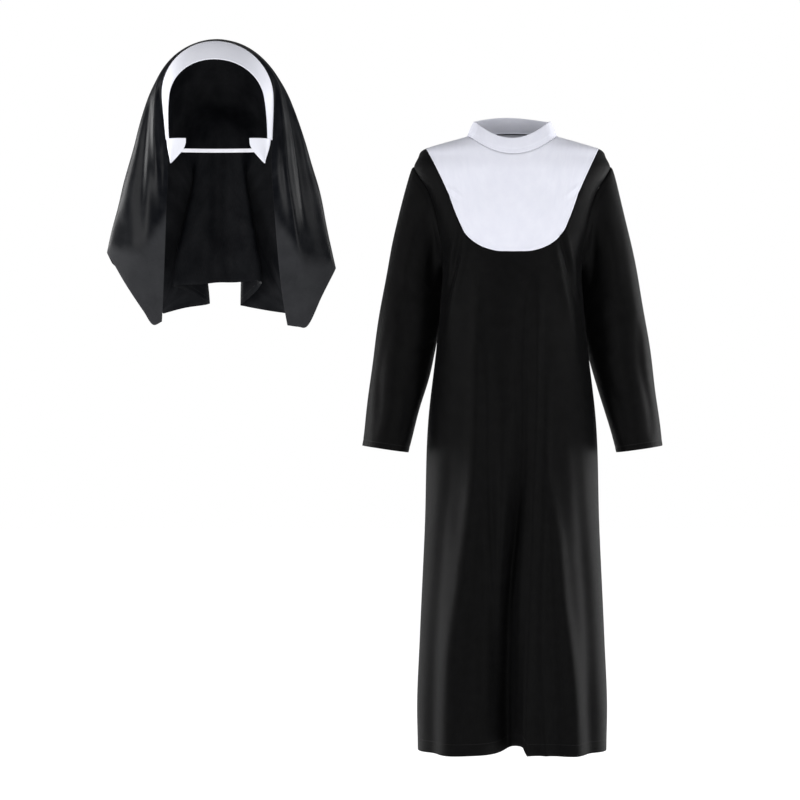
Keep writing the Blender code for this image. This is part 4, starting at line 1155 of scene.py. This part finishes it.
# ---- Elastic --------------------------------------------------------------------------------------
# Flat white ribbed elastic under the chin, stretched between the tabs and tacked to their inner edges.
ELASTIC_Z, ELASTIC_WIDTH, ELASTIC_WALL = -0.037, 0.0075, 0.0010
white_elastic = knit("white_elastic", (0.70, 0.70, 0.76), (0.85, 0.85, 0.90), 0.6, 0.3, 0.1, (1, 1, 1),
                     wale=0.0009)
ELASTIC_ALONG, ELASTIC_WIDE = 220, 12
end_x = tab(np.array(1.0), np.array(ELASTIC_Z))[0]
share, level = np.broadcast_arrays(even(-1, 1, ELASTIC_ALONG)[None, :],
                                   even(0.5, -0.5, ELASTIC_WIDE)[:, None])
rib = 0.00012 * np.sin(share * ELASTIC_ALONG * pi / 4)
surface = np.stack((VEIL_X + (end_x + 0.001) * share, TAB_FRONT_Y - rib,
                    ELASTIC_Z + ELASTIC_WIDTH * level - 0.0008 * (1 - share ** 2)), -1)
neck_elastic = grid_cloth("chin_elastic", surface, ELASTIC_WALL)
neck_elastic.data.materials.append(white_elastic)
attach(neck_elastic, "root")
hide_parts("neck_elastic")

# ---- Floor, light and background ------------------------------------------------------------------
# A pale floor a little below the robe's hem, soft boxes at both sides and in front, and a white room.
FLOOR_DROP = 0.12
floor_z = solid_box[0][2] - FLOOR_DROP
floor_mesh = bpy.data.meshes.new("floor")
FLOOR_HALF = 14.0
floor_mesh.from_pydata([(x * FLOOR_HALF, y * FLOOR_HALF, floor_z)
                        for x, y in ((-1, -1), (1, -1), (1, 1), (-1, 1))], [], [(0, 1, 2, 3)])
floor = placed("floor", floor_mesh)
floor_paint, *_, floor_shader = nodes_of("floor_paint")
for socket, value in (("Base Color", (0.20, 0.20, 0.20, 1)), ("Roughness", 0.9), ("Specular IOR Level", 0.1),
                      ("Emission Color", (1, 1, 1, 1)), ("Emission Strength", 1.0)):
    floor_shader.inputs[socket].default_value = value
floor_mesh.materials.append(floor_paint)

# The room looks white, and lights the set more dimly than it looks.
ROOM_LIGHT = 0.16
room = bpy.data.worlds.new("room")
room.use_nodes = True
shown = room.node_tree.nodes["Background"]
dimmed = room.node_tree.nodes.new("ShaderNodeBackground")
either = room.node_tree.nodes.new("ShaderNodeMixShader")
shown.inputs["Color"].default_value = dimmed.inputs["Color"].default_value = (1, 1, 1, 1)
shown.inputs["Strength"].default_value = 1.0
dimmed.inputs["Strength"].default_value = ROOM_LIGHT
link = room.node_tree.links.new
link(room.node_tree.nodes.new("ShaderNodeLightPath").outputs["Is Camera Ray"], either.inputs["Fac"])
link(dimmed.outputs[0], either.inputs[1])
link(shown.outputs[0], either.inputs[2])
link(either.outputs[0], room.node_tree.nodes["World Output"].inputs["Surface"])
bpy.context.scene.world = room
bpy.context.scene.view_settings.view_transform = "Standard"


def soft_box(name, place, aim, width, height, power):
    """A rectangular soft light at a place, facing a point."""
    data = bpy.data.lights.new(name, "AREA")
    data.shape = "RECTANGLE"
    data.size, data.size_y, data.energy = width, height, power
    light = placed(name, data)
    light.location = place
    direction = np.array(aim, float) - np.array(place, float)
    light.rotation_euler = (pi / 2 + np.arctan2(direction[2], np.hypot(direction[0], direction[1])), 0,
                            np.arctan2(direction[1], direction[0]) - pi / 2)


MIDDLE, LOW_MIDDLE = (-0.25, 0, -0.5), (-0.25, 0, -0.6)
soft_box("left_rim_box", (-3.6, 1.3, -0.4), LOW_MIDDLE, 1.4, 2.6, 120)
soft_box("right_rim_box", (3.1, 1.3, -0.4), LOW_MIDDLE, 1.4, 2.6, 120)
soft_box("front_left_box", (-3.6, -2.4, 0.3), MIDDLE, 1.2, 2.4, 76)
soft_box("front_right_box", (3.1, -2.4, 0.3), MIDDLE, 1.2, 2.4, 64)
soft_box("front_top_box", (-0.25, -4.2, 2.6), MIDDLE, 2.4, 1.4, 26)
